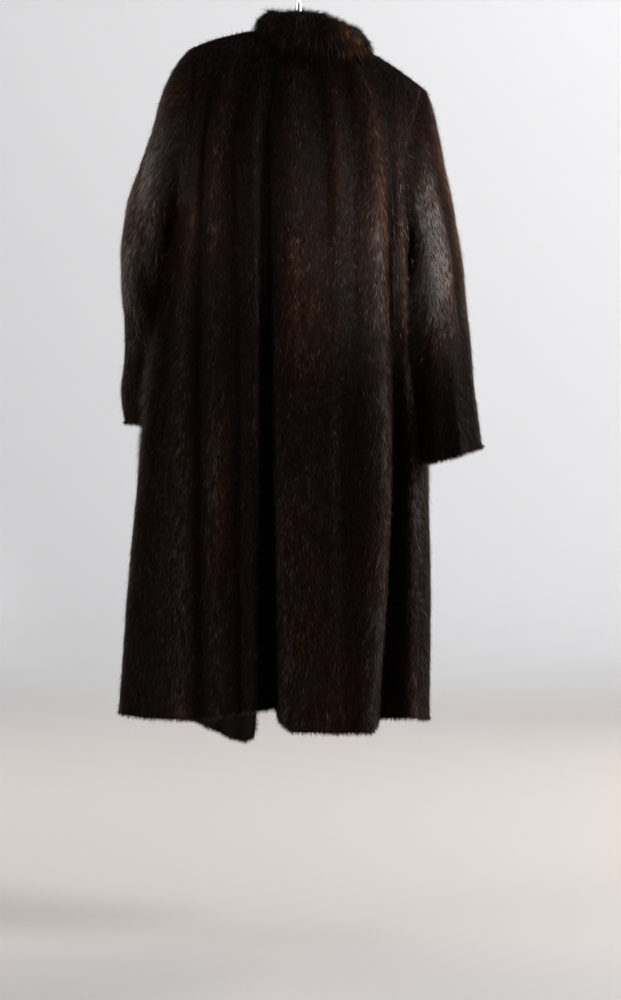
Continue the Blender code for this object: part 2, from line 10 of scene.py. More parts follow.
import bpy
import numpy as np
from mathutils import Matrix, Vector


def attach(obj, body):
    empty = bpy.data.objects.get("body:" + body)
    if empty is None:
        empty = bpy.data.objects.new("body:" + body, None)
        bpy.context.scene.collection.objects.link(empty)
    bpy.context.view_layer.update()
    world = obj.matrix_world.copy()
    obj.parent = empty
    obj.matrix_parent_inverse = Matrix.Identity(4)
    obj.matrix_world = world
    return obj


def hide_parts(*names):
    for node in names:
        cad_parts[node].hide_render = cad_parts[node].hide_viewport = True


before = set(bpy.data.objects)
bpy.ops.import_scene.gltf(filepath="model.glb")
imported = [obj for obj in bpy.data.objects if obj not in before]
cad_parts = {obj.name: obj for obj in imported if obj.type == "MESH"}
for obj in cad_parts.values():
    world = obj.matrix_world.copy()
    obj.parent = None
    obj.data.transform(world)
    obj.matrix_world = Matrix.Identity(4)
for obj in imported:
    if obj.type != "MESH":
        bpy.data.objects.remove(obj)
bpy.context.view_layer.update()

MM = 0.001

# The wall that stands for pelt and pile together.
WALL = 9 * MM

# The hang: one shoulder is low, and the slant dies out towards the hem.
SLANT = 0.174
SLANT_REACH = 200 * MM
SLANT_LEVEL_AT = -1200 * MM

# Heights of the straight coat, below the hook.
ARMPIT_Z = -470 * MM
SHOULDER_POINT_Z = -179 * MM
NECK_POINT_Z = -126 * MM
SHOULDER_ARCH = 5 * MM

# The neck hole, and the armhole's reach to the back and to the front.
NECK_CENTRE_X = 22 * MM
NECK_HALF_WIDTH = 67 * MM
ARMHOLE_DEPTH = 70 * MM
SHOULDER_ROUNDING = 8

# The back half and the front half: their depth at each level in millimetres, the exponent of their rounded
# outline, which way they face along Y, and the dip and depth of their neckline.
Half = namedtuple("Half", "depths rounding outward neck_dip neck_depth")
BACK_HALF = Half((78, 80, 86, 90, 95, 100), 2.4, -1.0, 20 * MM, 48 * MM)
FRONT_HALF = Half((74, 80, 84, 90, 97, 105), 2.0, 1.0, 109 * MM, 60 * MM)

# Rows of the skin above and below the armpit, and columns between two guides.
UPPER_ROWS = 10
LOWER_ROWS = 15
SEAM_COLUMNS = 3
GUIDE_COLUMNS = 2
EASING_ROUNDS = 3

# A guide is a line that a fold follows down the coat. Its x and its rise out of the skin are given at
# the levels top, chest, armpit, waist, knee and hem, and hem_z is where it ends.
Guide = namedtuple("Guide", "name x rise hem_z")
LAST_LEVEL = 5
ARMPIT_LEVEL = 2

LEFT_SEAM = Guide("left_seam", (-177, -189, -209, -255, -287, -309), (0, 0, 0, 0, 0, 0), -1280)
RIGHT_SEAM = Guide("right_seam", (206, 174, 190, 213, 224, 223), (0, 0, 0, 0, 0, 0), -1290)

BACK_GUIDES = (
    LEFT_SEAM,
    Guide("left_turn", (-157, -174, -190, -228, -245, -260), (0, 0, 0, -5, -7, -6), -1283),
    Guide("left_ridge", (-137, -163, -175, -192, -195, -196), (0, 3, 5, 6, 8, 8), -1281),
    Guide("left_groove", (-115, -151, -160, -165, -165, -162), (0, -2, -3, -4, -4, -5), -1279),
    Guide("left_rib", (-93, -136, -141, -143, -141, -136), (0, 6, 6, 5, 7, 8), -1275),
    Guide("stripe_groove", (-70, -104, -102, -100, -100, -97), (0, -4, -5, -4, -5, -6), -1270),
    Guide("neck_left", (-45, -77, -75, -73, -71, -70), (0, 4, 5, 5, 6, 6), -1265),
    Guide("mid_valley", (-34, -51, -53, -49, -44, -39), (0, -8, -14, -24, -30, -34), -1266),
    Guide("lobe_lip", (-20, -39, -41, -37, -34, -29), (0, 0, 2, 8, 14, 20), -1284),
    Guide("lobe_left", (0, -4, -5, -11, -12, -9), (0, 6, 10, 20, 28, 34), -1297),
    Guide("lobe_hollow", (24, 43, 45, 50, 50, 50), (0, -4, 4, 20, 30, 38), -1299),
    Guide("lobe_rib", (48, 63, 65, 68, 71, 74), (0, 3, 8, 17, 27, 36), -1299),
    Guide("lobe_groove", (70, 92, 92, 92, 94, 94), (0, -3, 4, 20, 31, 40), -1299),
    Guide("neck_right", (89, 127, 129, 134, 131, 117), (0, 8, 16, 30, 38, 44), -1298),
    Guide("lobe_turn", (118, 141, 146, 152, 145, 127), (0, 3, 8, 14, 18, 20), -1288),
    Guide("side_valley", (147, 152, 160, 164, 154, 141), (0, -3, -11, -28, -32, -34), -1284),
    Guide("side_rib", (177, 162, 174, 188, 190, 187), (0, -1, -1, 4, 4, 4), -1283),
    RIGHT_SEAM,
)

FRONT_LEFT_GUIDES = (
    LEFT_SEAM,
    Guide("side_turn", (-157, -174, -190, -226, -246, -262), (0, 0, 1, 2, 4, 6), -1289),
    Guide("side_groove", (-137, -166, -174, -194, -206, -216), (0, -3, -4, -6, -9, -10), -1298),
    Guide("side_rib", (-115, -150, -152, -168, -178, -190), (0, 4, 5, 6, 10, 12), -1306),
    Guide("mid_groove", (-93, -130, -130, -142, -151, -164), (0, -3, -4, -6, -8, -8), -1317),
    Guide("mid_rib", (-70, -108, -106, -116, -126, -141), (0, 4, 6, 8, 10, 12), -1330),
    Guide("neck_left", (-45, -80, -80, -90, -104, -122), (0, 0, 0, -2, -4, -6), -1338),
    Guide("chest_rib", (-28, -52, -54, -66, -85, -110), (0, 2, 4, 6, 7, 8), -1343),
    Guide("edge_fold", (-8, -22, -27, -43, -67, -95), (0, 0, 0, -1, -2, -2), -1345),
    Guide("front_edge", (14, 8, 0, -22, -50, -78), (0, 0, 0, 1, 2, 3), -1339),
)

FRONT_RIGHT_GUIDES = (
    RIGHT_SEAM,
    Guide("side_turn", (177, 164, 176, 195, 202, 201), (0, 0, 1, 2, 4, 5), -1293),
    Guide("side_groove", (147, 150, 158, 170, 174, 172), (0, -3, -4, -5, -8, -9), -1297),
    Guide("side_rib", (118, 133, 137, 144, 146, 143), (0, 4, 5, 6, 9, 11), -1302),
    Guide("neck_right", (89, 112, 113, 115, 116, 112), (0, -2, -3, -4, -7, -8), -1307),
    Guide("chest_rib", (80, 86, 85, 84, 82, 76), (0, 3, 5, 6, 9, 10), -1311),
    Guide("mid_groove", (63, 62, 57, 52, 46, 38), (0, -2, -2, -4, -5, -6), -1314),
    Guide("edge_fold", (48, 42, 34, 26, 18, 10), (0, 0, 1, 1, 2, 2), -1316),
    Guide("front_edge", (34, 24, 14, 2, -6, -12), (0, 0, 0, 1, 2, 3), -1318),
)
GUIDES = {"back": BACK_GUIDES, "front_left": FRONT_LEFT_GUIDES, "front_right": FRONT_RIGHT_GUIDES}

# A ring of a sleeve: its outer and inner point, its half depth along Y, how far it hangs forward, and how
# far it is turned about the vertical, in degrees. The first ring is the armhole itself.
Ring = namedtuple("Ring", "outer_x outer_z inner_x inner_z depth forward turn")

LEFT_RINGS = (
    Ring(-177, -179, -209, -470, 70, 0, 0),
    Ring(-192, -192, -213, -475, 70, 2, 0),
    Ring(-212, -219, -216, -484, 70, 6, 2),
    Ring(-231, -260, -216, -498, 70, 12, 4),
    Ring(-252, -318, -216, -516, 70, 19, 7),
    Ring(-274, -376, -216, -538, 69, 28, 10),
    Ring(-288, -439, -216, -564, 68, 39, 13),
    Ring(-294, -505, -216, -594, 67, 51, 16),
    Ring(-296, -568, -215, -627, 66, 64, 18),
    Ring(-299, -633, -213, -664, 65, 77, 20),
    Ring(-297, -701, -211, -708, 64, 89, 20),
    Ring(-304, -765, -210, -764, 63, 98, 20),
    Ring(-297, -816, -209, -826, 62, 104, 20),
)

RIGHT_RINGS = (
    Ring(206, -179, 190, -470, 70, 0, 0),
    Ring(216, -192, 195, -477, 70, -3, 1),
    Ring(226, -221, 198, -488, 70, -8, 2),
    Ring(235, -263, 199, -503, 70, -14, 3),
    Ring(245, -316, 197, -520, 69, -23, 4),
    Ring(256, -370, 195, -540, 67, -34, 6),
    Ring(266, -430, 195, -562, 64, -44, 7),
    Ring(275, -484, 196, -587, 61, -52, 8),
    Ring(282, -542, 198, -615, 59, -58, 8),
    Ring(287, -607, 201, -652, 57, -60, 8),
    Ring(292, -671, 205, -695, 55, -60, 8),
    Ring(300, -733, 209, -750, 54, -58, 7),
    Ring(308, -788, 214, -816, 54, -57, 7),
)

# The armhole's shape dies out over its first rings, and creases come in over two.
ARMHOLE_FADE_RINGS = 6
ARMHOLE_FADE_POWER = 1.5
CREASE_FADE_RINGS = 2

# A crease on a sleeve: the ring and the angle round it where it starts and ends (0 is inside, 90 back,
# 180 outside, 270 front), its half width in rings and in degrees, and its rise.
Crease = namedtuple("Crease", "ring_a angle_a ring_b angle_b rings degrees rise")

LEFT_CREASES = (
    Crease(4.6, 150, 7.4, 60, 0.9, 34, -11),
    Crease(6.4, 170, 8.6, 90, 0.9, 30, 6),
    Crease(8.8, 160, 9.4, 70, 0.8, 40, -5),
    Crease(3.0, 110, 11.0, 120, 6.0, 26, 5),
    Crease(6.0, 240, 8.0, 320, 0.9, 34, -8),
)

RIGHT_CREASES = (
    Crease(5.0, 128, 12.0, 118, 3.0, 20, -9),
    Crease(4.0, 75, 11.0, 80, 5.0, 30, 6),
    Crease(6.8, 60, 7.6, 150, 0.8, 30, -6),
    Crease(6.0, 240, 8.0, 320, 0.9, 34, -8),
)

# The collar's section at the front edges, at the two neck points and at the centre back: the height of
# its stand, the radius of its roll, the length of its fall and the fall's angle out from the stand.
CollarSection = namedtuple("CollarSection", "stand roll fall flare")
COLLAR_FRONT = CollarSection(9, 6, 66, 86)
COLLAR_LEFT = CollarSection(15, 3.5, 22, 44)
COLLAR_RIGHT = CollarSection(5, 3.5, 22, 50)
COLLAR_BACK = CollarSection(36, 6.5, 59, 15)
COLLAR_LEAN_GAIN = 0.93
COLLAR_OPENING_RATE = 1.6
COLLAR_STAND_ROWS = 3
COLLAR_ROLL_ROWS = 5
COLLAR_FALL_ROWS = 4

# Depths below the fur's outer surface: where the hairs are rooted, and the pelt's two faces.
ROOT_DEPTH = 2.2 * MM
PELT_OUTER = 1.6 * MM
PELT_INNER = 6.6 * MM

# How much of the pelt's own normal is in the direction that hairs stand away from.
PELT_NORMAL_SHARE = 0.35

# A hair as a mesh: each vertex's side of the middle line and its height, and the corners and sizes of its
# faces. A straight hair is one triangle, and a bent one three as a strip.
HairShape = namedtuple("HairShape", "sides heights corners sizes")
STRAIGHT = HairShape((-1, 1, 0), (0, 0, 1), (0, 1, 2), (3,))
BENT = HairShape((-1, 1, -1, 1, 0), (0, 0, 0.6, 0.6, 1), (0, 1, 3, 2, 2, 3, 4), (4, 3))
STRAIGHT_SETTLING = 0.3
BEND_AT = 0.55
BEND_WIDTH = 0.7

# Hairs for each square metre, and the kinds: lift and its spread in degrees, the share of loose hairs, how
# far shading and tone differ from hair to hair, and how much the hair hangs down.
PILE_DENSITY = 320_000
GUARD_DENSITY = 52_000
EDGE_DENSITY = 500_000
Hair = namedtuple("Hair", "length width lift spread loose ruffle tone_spread droop shape")
PILE = Hair(11 * MM, 0.8 * MM, 19, 4.2, 0.08, 0.09, 0.12, 0.0, STRAIGHT)
GUARD = Hair(13 * MM, 0.45 * MM, 23, 5.4, 0.22, 0.14, 0.26, 0.0, BENT)
COLLAR_PILE = Hair(15 * MM, 0.85 * MM, 25, 7.2, 0.10, 0.10, 0.12, 0.5, STRAIGHT)
COLLAR_GUARD = Hair(18 * MM, 0.5 * MM, 29, 8.4, 0.16, 0.15, 0.26, 0.6, BENT)
EDGE = Hair(9 * MM, 0.6 * MM, 70, 14, 0.0, 0.15, 0.15, 0.0, STRAIGHT)

# Hairs as they grow, each field an array: the directions of their rising and their settled part, the normal
# that they are shaded by, and their place down and across the panel.
Grown = namedtuple("Grown", "root rising settled normal length tone warm along across")

# The least and the most lift in degrees, what a tuft and a broad wave add to it, how many times as high a
# loose hair stands, and how high the hair's settled end still stands.
LIFT_RANGE = (3, 65)
TUFT_LIFT = 4
BROAD_LIFT = 3
LOOSE_LIFT = (1.6, 3.0)
SETTLED_LIFT = 0.35
RISING_DROOP = 0.45

# How hairs of one kind differ in length, width, lean and roll.
LENGTH_SPREAD = 0.18
TUFT_LENGTHENING = 0.10
WIDTH_RANGE = (0.7, 1.3)
LEAN_SPREAD = 0.14
ROLL_SPREAD = 0.35

# Tufts: the size of one, how far they wander and are out of step in tufts, and how far their hairs lean
# together.
TUFT_WIDTH = 4.5 * MM
TUFT_LENGTH = 15 * MM
TUFT_WANDERING = 1.2
TUFT_STAGGER = 3
TUFT_GATHER = 0.5

# Waves of change over a panel, as wide and as long as these sizes in metres, and their seeds.
Wave = namedtuple("Wave", "across along seed")
BROAD_WAVE = Wave(0.030, 0.120, 12)
CLOUD_WAVE = Wave(0.09, 0.16, 17)
FINE_SWAY = Wave(0.012, 0.050, 13)
BROAD_SWAY = Wave(0.05, 0.10, 14)
RED_STREAKS = Wave(0.028, 0.45, 15)
RED_CLOUDS = Wave(0.06, 0.10, 18)
TUFT_WANDER = Wave(0.02, 0.05, 16)
HEM_WAVE = Wave(0.020, 0.050, 19)
TUFT_SEED = 21
FINE_SWAY_LEAN = 0.16
BROAD_SWAY_LEAN = 0.14

# A hair's tone, from black at 0 to pale at 1: the mean, and what its tuft, a broad wave, a cloud and its
# place on the pelt add.
MEAN_TONE = 0.24
TUFT_TONE = 0.17
BROAD_TONE = 0.10
CLOUD_TONE = 0.11
PELT_TONE = 0.08

# Its warmth, from grey at 0 to reddish brown at 1: lighter hairs are greyer, and so are places with painted
# light, as a painted sheen is grey.
MEAN_WARMTH = 0.68
STREAK_WARMTH = 0.35
CLOUD_WARMTH = 0.25
PELT_WARMTH = 0.2
HAIR_COOLING = 1.2
PLACE_COOLING = 0.3

# Fur stands up and fills the gap where a sleeve hangs against the body and under the collar.
CROWDED_LIFT = 30
CROWDED_LENGTH = 1.3

# Where that is. On the body: over rows, and some columns from the seams of the back and the left front, or
# from the edge of the right front. On a sleeve: over rings, and part of the way round to its outside. At
# the neck: over columns beyond it and rows below it.
Span = namedtuple("Span", "start rise end fall")
SIDE_SPAN = Span(9, 2, 18, 3)
SIDE_COLUMNS = 3.5
SLEEVE_SPAN = Span(0.3, 1.5, 12, 3)
SLEEVE_SHARE = 0.4
NECK_COLUMNS = 2.5
NECK_ROWS = 1.6

# How far a hair may reach over the hem or the cuff, least and most.
HEM_REACH = (2 * MM, 14 * MM)
HEM_RAGGED = 4 * MM
HEM_WAVE_SHARE = 0.6

# On the collar the fur is combed to both sides, and hangs longer over the lower edge.
COLLAR_COMB = 1.1
COLLAR_SWAY = 2.5
COLLAR_HANG = 0.7
COLLAR_DROOP = 1.2
COLLAR_HANG_ROWS = 2

# The short fur on an edge fans out, over this many degrees from the outer face to the inner one. It starts
# inside the edge and settles outward and down. Its tone and warmth are its own.
EDGE_FAN = 125
EDGE_MARGIN = 3 * MM
EDGE_ROOT = 1.5 * MM
EDGE_SWAY = 0.3
EDGE_SETTLING = (0.4, 0.3)
EDGE_NORMAL_SHARE = 0.3
EDGE_LENGTH_SPREAD = 0.22
EDGE_LOOK = (0.6, 0.85)
COLLAR_EDGE_LOOK = (0.25, 0.5)

# Pelts: guides to a pelt on the body, pelts round a sleeve and along the collar.
GUIDES_PER_PELT = 2
SLEEVE_PELTS = 8
COLLAR_PELTS = 12
NOISE_SIZE = 256

# Painted sheen and shade by a fold's height: ridges are painted lighter and greyer in the fur's tone,
# grooves darker and redder.
# Columns to compare with, height for the full effect, and how much tone it gives.
RELIEF_COLUMNS = 3
RELIEF_DEPTH = 8 * MM
RELIEF_PAINTED_SHADE = 0.34

# Painted sheen and shade along each guide of the back: how much lighter than its mean the fur is painted
# where light falls on a fold, or darker where below 0 for the shade in a valley, at the shoulders, at the
# armpits and at the hem, and how much redder.
PaintedShading = namedtuple("PaintedShading", "shoulder armpit hem warmth")
BACK_PAINTED_SHADING = {
    "left_turn": PaintedShading(0.02, -0.06, 0.0, 0.20),
    "left_ridge": PaintedShading(-0.14, 0.10, 0.02, 0.0),
    "left_groove": PaintedShading(-0.24, -0.12, -0.04, 0.25),
    "left_rib": PaintedShading(-0.14, 0.08, 0.0, -0.10),
    "stripe_groove": PaintedShading(-0.28, -0.12, -0.02, 0.30),
    "neck_left": PaintedShading(-0.26, -0.28, -0.22, 0.0),
    "mid_valley": PaintedShading(-0.18, -0.30, -0.30, -0.30),
    "lobe_lip": PaintedShading(-0.16, -0.24, -0.02, 0.05),
    "lobe_left": PaintedShading(0.02, -0.08, 0.06, 0.15),
    "lobe_hollow": PaintedShading(-0.36, -0.10, -0.02, 0.15),
    "lobe_rib": PaintedShading(-0.08, -0.24, 0.0, 0.25),
    "lobe_groove": PaintedShading(-0.26, -0.26, 0.0, 0.20),
    "neck_right": PaintedShading(0.04, -0.04, -0.04, -0.05),
    "lobe_turn": PaintedShading(0.0, 0.0, -0.10, 0.25),
    "side_valley": PaintedShading(-0.30, -0.30, -0.26, -0.20),
    "side_rib": PaintedShading(-0.10, 0.24, -0.14, 0.10),
}

# The same painted sheen and shade on a sleeve or the collar, with a painted warm glow where backlit fur rims
# an edge: a spot's row and its angle round, its reach in rows and degrees, its light and its warmth.
Spot = namedtuple("Spot", "row angle rows degrees light warmth")
LEFT_SPOTS = (
    Spot(5.0, 110, 5.0, 80, 0.36, -0.35),
    Spot(6.4, 70, 1.0, 40, -0.26, 0.0),
    Spot(10.5, 110, 3.0, 80, 0.16, 0.05),
    Spot(6.0, 180, 9.0, 30, 0.1, 0.3),
)
RIGHT_SPOTS = (
    Spot(4.4, 62, 4.2, 62, 0.68, -0.6),
    Spot(0.8, 115, 1.0, 40, -0.30, 0.1),
    Spot(7.0, 128, 5.0, 14, -0.38, 0.0),
    Spot(12.0, 100, 3.0, 90, -0.60, 0.0),
    Spot(7.0, 175, 9.0, 30, 0.22, 0.6),
)
COLLAR_SPOTS = (
    Spot(3.0, 232, 8.0, 24, 0.72, 1.1),
    Spot(5.0, 205, 2.0, 9, 0.75, -1.8),
    Spot(4.0, 188, 6.0, 10, -0.30, -0.3),
    Spot(5.0, 150, 4.0, 26, 0.30, -0.5),
    Spot(2.0, 165, 1.8, 45, 0.34, 0.8),
)
SPOTS = {"sleeve_left": LEFT_SPOTS, "sleeve_right": RIGHT_SPOTS, "collar": COLLAR_SPOTS}

# How far in from each edge of the panel its fur and pelt end, in rows and columns: top, hem, first, last.
INSETS = {"front_left": (0, 0.08, 0, 0.2), "front_right": (0, 0.08, 0, 0.2), "collar": (0, 0.35, 0.2, 0.2)}
PLAIN_INSET = (0, 0.08, 0, 0)

# The free edges with short fur on them, by panel; a panel that isn't named here has only its hem or cuff.
FREE_EDGES = {
    "front_left": ("hem", "last"),
    "front_right": ("hem", "last"),
    "collar": ("hem", "first", "last"),
}

# How much finer than the panel's grid a pelt is, by rows and columns.
BODY_PELT_STEPS = (3, 3)
SLEEVE_PELT_STEPS = (4, 3)
PELT_SHARP_ANGLE = 50

# The bake map: how much wider and longer it is than a panel, where a pelt's inner face lies beside its outer
# one, and the strip at its border that stays free of hair.
PELT_MAP = (2.1, 1.02)
PELT_MAP_INNER = 0.5
HAIR_MAP = (1.02, 1.05)
MAP_BORDER = 0.001

# Hair is shaded by a normal that is partly square to the hair and partly the panel's own.
SQUARE_SHARE = 0.6

# A sheet's cut: width, length and area, in metres.
Cut = namedtuple("Cut", "width length area")

# Colours of the hair by its tone, grey at the pale end, which carries the painted sheen, and what a warm
# hair's colour is multiplied by.
FUR_TONES = (
    (0.0, (0.0012, 0.0011, 0.0011)),
    (0.35, (0.0055, 0.0037, 0.0030)),
    (0.60, (0.0190, 0.0142, 0.0120)),
    (0.80, (0.0600, 0.0510, 0.0470)),
    (1.0, (0.1400, 0.1300, 0.1260)),
)
COLLAR_TONES = (
    (0.0, (0.0012, 0.0011, 0.0011)),
    (0.40, (0.0062, 0.0046, 0.0040)),
    (0.75, (0.0340, 0.0250, 0.0215)),
    (1.0, (0.1200, 0.1000, 0.0930)),
)
WARM = (2.7, 1.1, 0.45)
# How a hair's colour is multiplied from root to tip: darker at the root, partly painted shade deep in the
# fur.
ROOT_TO_TIP = ((0.0, (0.20, 0.18, 0.16)), (0.6, (0.8, 0.8, 0.8)), (1.0, (1.25, 1.10, 1.0)))
FurFinish = namedtuple("FurFinish", "name stops roughness specular")
FUR_FINISHES = (
    FurFinish("pile", FUR_TONES, 0.55, 0.04),
    FurFinish("guard_hair", FUR_TONES, 0.42, 0.16),
    FurFinish("collar_pile", COLLAR_TONES, 0.55, 0.04),
    FurFinish("collar_guard", COLLAR_TONES, 0.42, 0.16),
)
FUR_SHEEN = 0.02
FUR_SHEEN_ROUGHNESS = 0.35
FUR_SHEEN_TINT = (0.75, 0.62, 0.55, 1.0)

# The pelts' two faces: how fine the grain is along each axis, its detail, colours, and relief.
PeltFinish = namedtuple("PeltFinish", "name scales detail stops strength depth roughness specular")
UNDERFUR_TONES = ((0.3, (0.004, 0.002, 0.0015)), (0.7, (0.016, 0.008, 0.005)))
LEATHER_TONES = ((0.3, (0.007, 0.0045, 0.0035)), (0.7, (0.013, 0.008, 0.006)))
UNDERFUR = PeltFinish("underfur", (700, 700, 60), 3, UNDERFUR_TONES, 0.6, 1.5 * MM, 0.85, 0.1)
LEATHER = PeltFinish("pelt_leather", (90, 90, 90), 6, LEATHER_TONES, 0.25, 0.5 * MM, 0.8, 0.2)

# The hanger's surfaces: the nodes that have them, how fine the grain is, least and most roughness, colour.
HardFinish = namedtuple("HardFinish", "name nodes scale roughness colour metallic")
PLASTIC = HardFinish("hanger_plastic", ("hanger",), 400, (0.28, 0.42), (0.02, 0.02, 0.02, 1), 0)
STEEL = HardFinish(
    "hook_steel", ("hanger_hook", "hanger_ferrule"), 900, (0.12, 0.26), (0.78, 0.76, 0.74, 1), 1
)
HARD_DETAIL = 2

# The hairs that grow on a panel: the piece's ending, kind, density and finish.
Growth = namedtuple("Growth", "ending kind density finish")
BODY_GROWTHS = (
    Growth("_pile", PILE, PILE_DENSITY, "pile"),
    Growth("_guard", GUARD, GUARD_DENSITY, "guard_hair"),
)
COLLAR_GROWTHS = (
    Growth("_pile", COLLAR_PILE, PILE_DENSITY, "collar_pile"),
    Growth("_guard", COLLAR_GUARD, GUARD_DENSITY, "collar_guard"),
)
FIRST_SEED = 100

# The room: a pale round floor that sweeps up into a wall, in metres.
FLOOR_Z = -1.66
FLOOR_RADII = (1.5, 3.2)
ROOM_RADIUS = 7.0
ROOM_BEND = 2.2
ROOM_TOP = 4.0
BEND_STEPS = 20
ROOM_SIDES = 96
PAPER_GREY = (0.62, 0.62, 0.63, 1)
PAPER_ROUGHNESS = 0.9
WORLD_GREY = (0.80, 0.80, 0.82, 1)
WORLD_STRENGTH = 0.035

# The camera: 1.7 mm of the coat to a pixel of a picture 1000 pixels high, and its sensor in millimetres.
CAMERA_DISTANCE = 4.3
PIXEL = 0.0017
PICTURE_HEIGHT = 1000
SENSOR = 36
CAMERA_PLACE = (0.01955, -CAMERA_DISTANCE, -0.69)
CAMERA_TARGET = (0.01955, 0.0, -0.9146)
CAMERA_LENS = CAMERA_DISTANCE / PIXEL / PICTURE_HEIGHT * SENSOR
CLIP_END = 100

# Soft lights on the coat and on the room: place, what each is aimed at, width and height in metres, power
# and colour.
Light = namedtuple("Light", "name place target size power colour")
CHEST = (0.0, 0.0, -0.6)
WHITE = (1.0, 1.0, 1.0)
RIM_COLOUR = (1.0, 0.82, 0.66)
COAT_LIGHTS = (
    Light("key", (3.4, -1.1, 0.5), CHEST, (1.2, 2.6), 148, WHITE),
    Light("left", (-3.2, -1.4, 0.0), CHEST, (1.2, 2.6), 34, WHITE),
    Light("top", (0.3, -0.7, 2.0), (0.0, 0.0, -0.3), (1.6, 1.0), 3, WHITE),
    Light("rim_right", (2.0, 1.8, 0.4), (0.1, 0.0, -0.6), (0.8, 2.0), 44, RIM_COLOUR),
    Light("rim_left", (-2.0, 1.6, 0.2), (-0.1, 0.0, -0.7), (0.8, 2.0), 22, RIM_COLOUR),
)
ROOM_LIGHTS = (
    Light("wall_glow", (1.8, 3.2, 1.6), (2.2, 7.0, 0.9), (1.2, 1.2), 130, WHITE),
    Light("wall", (-1.2, 2.8, 2.2), (-0.8, 7.0, -0.6), (2.0, 1.2), 70, WHITE),
    Light("floor", (0.0, 0.6, 2.6), (0.0, 1.0, FLOOR_Z), (2.4, 2.4), 22, WHITE),
)

# Narrow lights on the sleeves, where the fur's sheen is: place, target, cone in degrees and power.
SheenLight = namedtuple("SheenLight", "name place target cone power")
SHEEN_LIGHTS = (
    SheenLight("sleeve_sheen", (1.2, -2.8, 0.1), (0.215, -0.05, -0.46), 9.5, 1250),
    SheenLight("left_sleeve_sheen", (-1.8, -2.3, 0.1), (-0.285, 0.0, -0.42), 8, 460),
)
SHEEN_LIGHT_SIZE = 0.12


def spline(values, position):
    """The value at a position along evenly spaced values, on a smooth curve through all of them."""
    last = len(values) - 1
    index = min(int(position), last - 1)
    part = position - index
    here = values[index]
    there = values[index + 1]
    before = values[index - 1] if index > 0 else 2 * here - there
    after = values[index + 2] if index + 2 <= last else 2 * there - here
    bend = 2 * before - 5 * here + 4 * there - after
    twist = 3 * (here - there) + after - before
    return here + 0.5 * part * (there - before + part * (bend + part * twist))


def smoothstep(value):
    value = np.clip(value, 0.0, 1.0)
    return value * value * (3 - 2 * value)


def units(vectors):
    return vectors / np.maximum(np.linalg.norm(vectors, axis=-1, keepdims=True), 1e-12)


def slanted(point):
    """The point of the straight coat, moved to where it hangs with one shoulder low."""
    x, y, z = point
    fade = smoothstep((z - SLANT_LEVEL_AT) / (ARMPIT_Z - SLANT_LEVEL_AT))
    reach = min(max(x, -SLANT_REACH), SLANT_REACH)
    return np.array((x, y, z - SLANT * reach * fade))


def slanted_sleeve(point, shoulder_x):
    """A sleeve hangs from its shoulder point, so all of it moves up or down as that point does."""
    return np.array((point[0], point[1], point[2] - SLANT * shoulder_x))


class Skin:
    """The coat's outer surface as points that neighbouring panels share."""

    def __init__(self):
        self.points = []
        self.rises = []
        self.straight = []
        self.panels = {}
        self.found = {}

    def add(self, point, rise=0.0, straight=0.0):
        """Adds a point, or finds the one that is already there. straight is the Y that folds lean to."""
        key = tuple(np.round(point, 7) + 0.0)
        if key not in self.found:
            self.found[key] = len(self.points)
            self.points.append(np.array(point))
            self.rises.append(rise)
            self.straight.append(np.array((0.0, straight, 0.0)))
        return self.found[key]

    def cover(self, name, grid, flip=False, wrap=False):
        """Lays quads over a grid of point numbers."""
        faces = self.panels.setdefault(name, [])
        columns = len(grid[0])
        for upper, lower in zip(grid, grid[1:]):
            for column in range(columns if wrap else columns - 1):
                after = (column + 1) % columns
                face = (upper[column], lower[column], lower[after], upper[after])
                faces.append(face[::-1] if flip else face)

    def normals(self):
        total = np.zeros((len(self.points), 3))
        for faces in self.panels.values():
            for face in faces:
                corners = [self.points[index] for index in face]
                total[list(face)] += units(np.cross(corners[2] - corners[0], corners[3] - corners[1]))
        return units(total)

    def eased(self, normals, names, rounds):
        """The normals, those of the named panels made more like their neighbours', so walls don't cross."""
        pairs = set()
        for name in names:
            for face in self.panels[name]:
                for start, end in zip(face, face[1:] + face[:1]):
                    pairs |= {(start, end), (end, start)}
        starts, ends = np.array(sorted(pairs)).T
        for _ in range(rounds):
            total = normals.copy()
            np.add.at(total, starts, normals[ends])
            normals = units(total)
        return normals


def column_places(guides):
    """Guide coordinates of a panel's columns: closer together where the panel turns round to a seam."""
    places = [0.0]
    last = len(guides) - 2
    for interval in range(last + 1):
        at_last = interval == last and guides[-1] is RIGHT_SEAM
        steps = SEAM_COLUMNS if interval == 0 or at_last else GUIDE_COLUMNS
        for step in range(1, steps + 1):
            part = step / steps
            if interval == 0:
                part = part * part
            elif at_last:
                part = 1 - (1 - part) ** 2
            places.append(interval + part)
    return places


def guide_value(rows, place, level):
    """The value between two guides, straight across and smooth down the coat."""
    index = min(int(place), len(rows) - 2)
    part = place - index
    return (1 - part) * spline(rows[index], level) + part * spline(rows[index + 1], level)


def guide_rise(rows, place, level):
    """The rise between guides, smooth both across and down the coat."""
    return spline(np.array([spline(row, level) for row in rows]), place)


def neck_shape(x, half):
    """Height and depth of a panel's top edge: the shoulder seam, then the neckline."""
    across = (x - NECK_CENTRE_X) / NECK_HALF_WIDTH
    if abs(across) >= 1:
        shoulder_x = LEFT_SEAM.x[0] * MM if across < 0 else RIGHT_SEAM.x[0] * MM
        neck_x = NECK_CENTRE_X + math.copysign(NECK_HALF_WIDTH, across)
        part = (x - neck_x) / (shoulder_x - neck_x)
        arch = SHOULDER_ARCH * math.sin(math.pi * part)
        return NECK_POINT_Z + part * (SHOULDER_POINT_Z - NECK_POINT_Z) + arch, 0.0
    return NECK_POINT_Z - half.neck_dip * (1 - across**2), half.neck_depth * math.sqrt(1 - across**2)


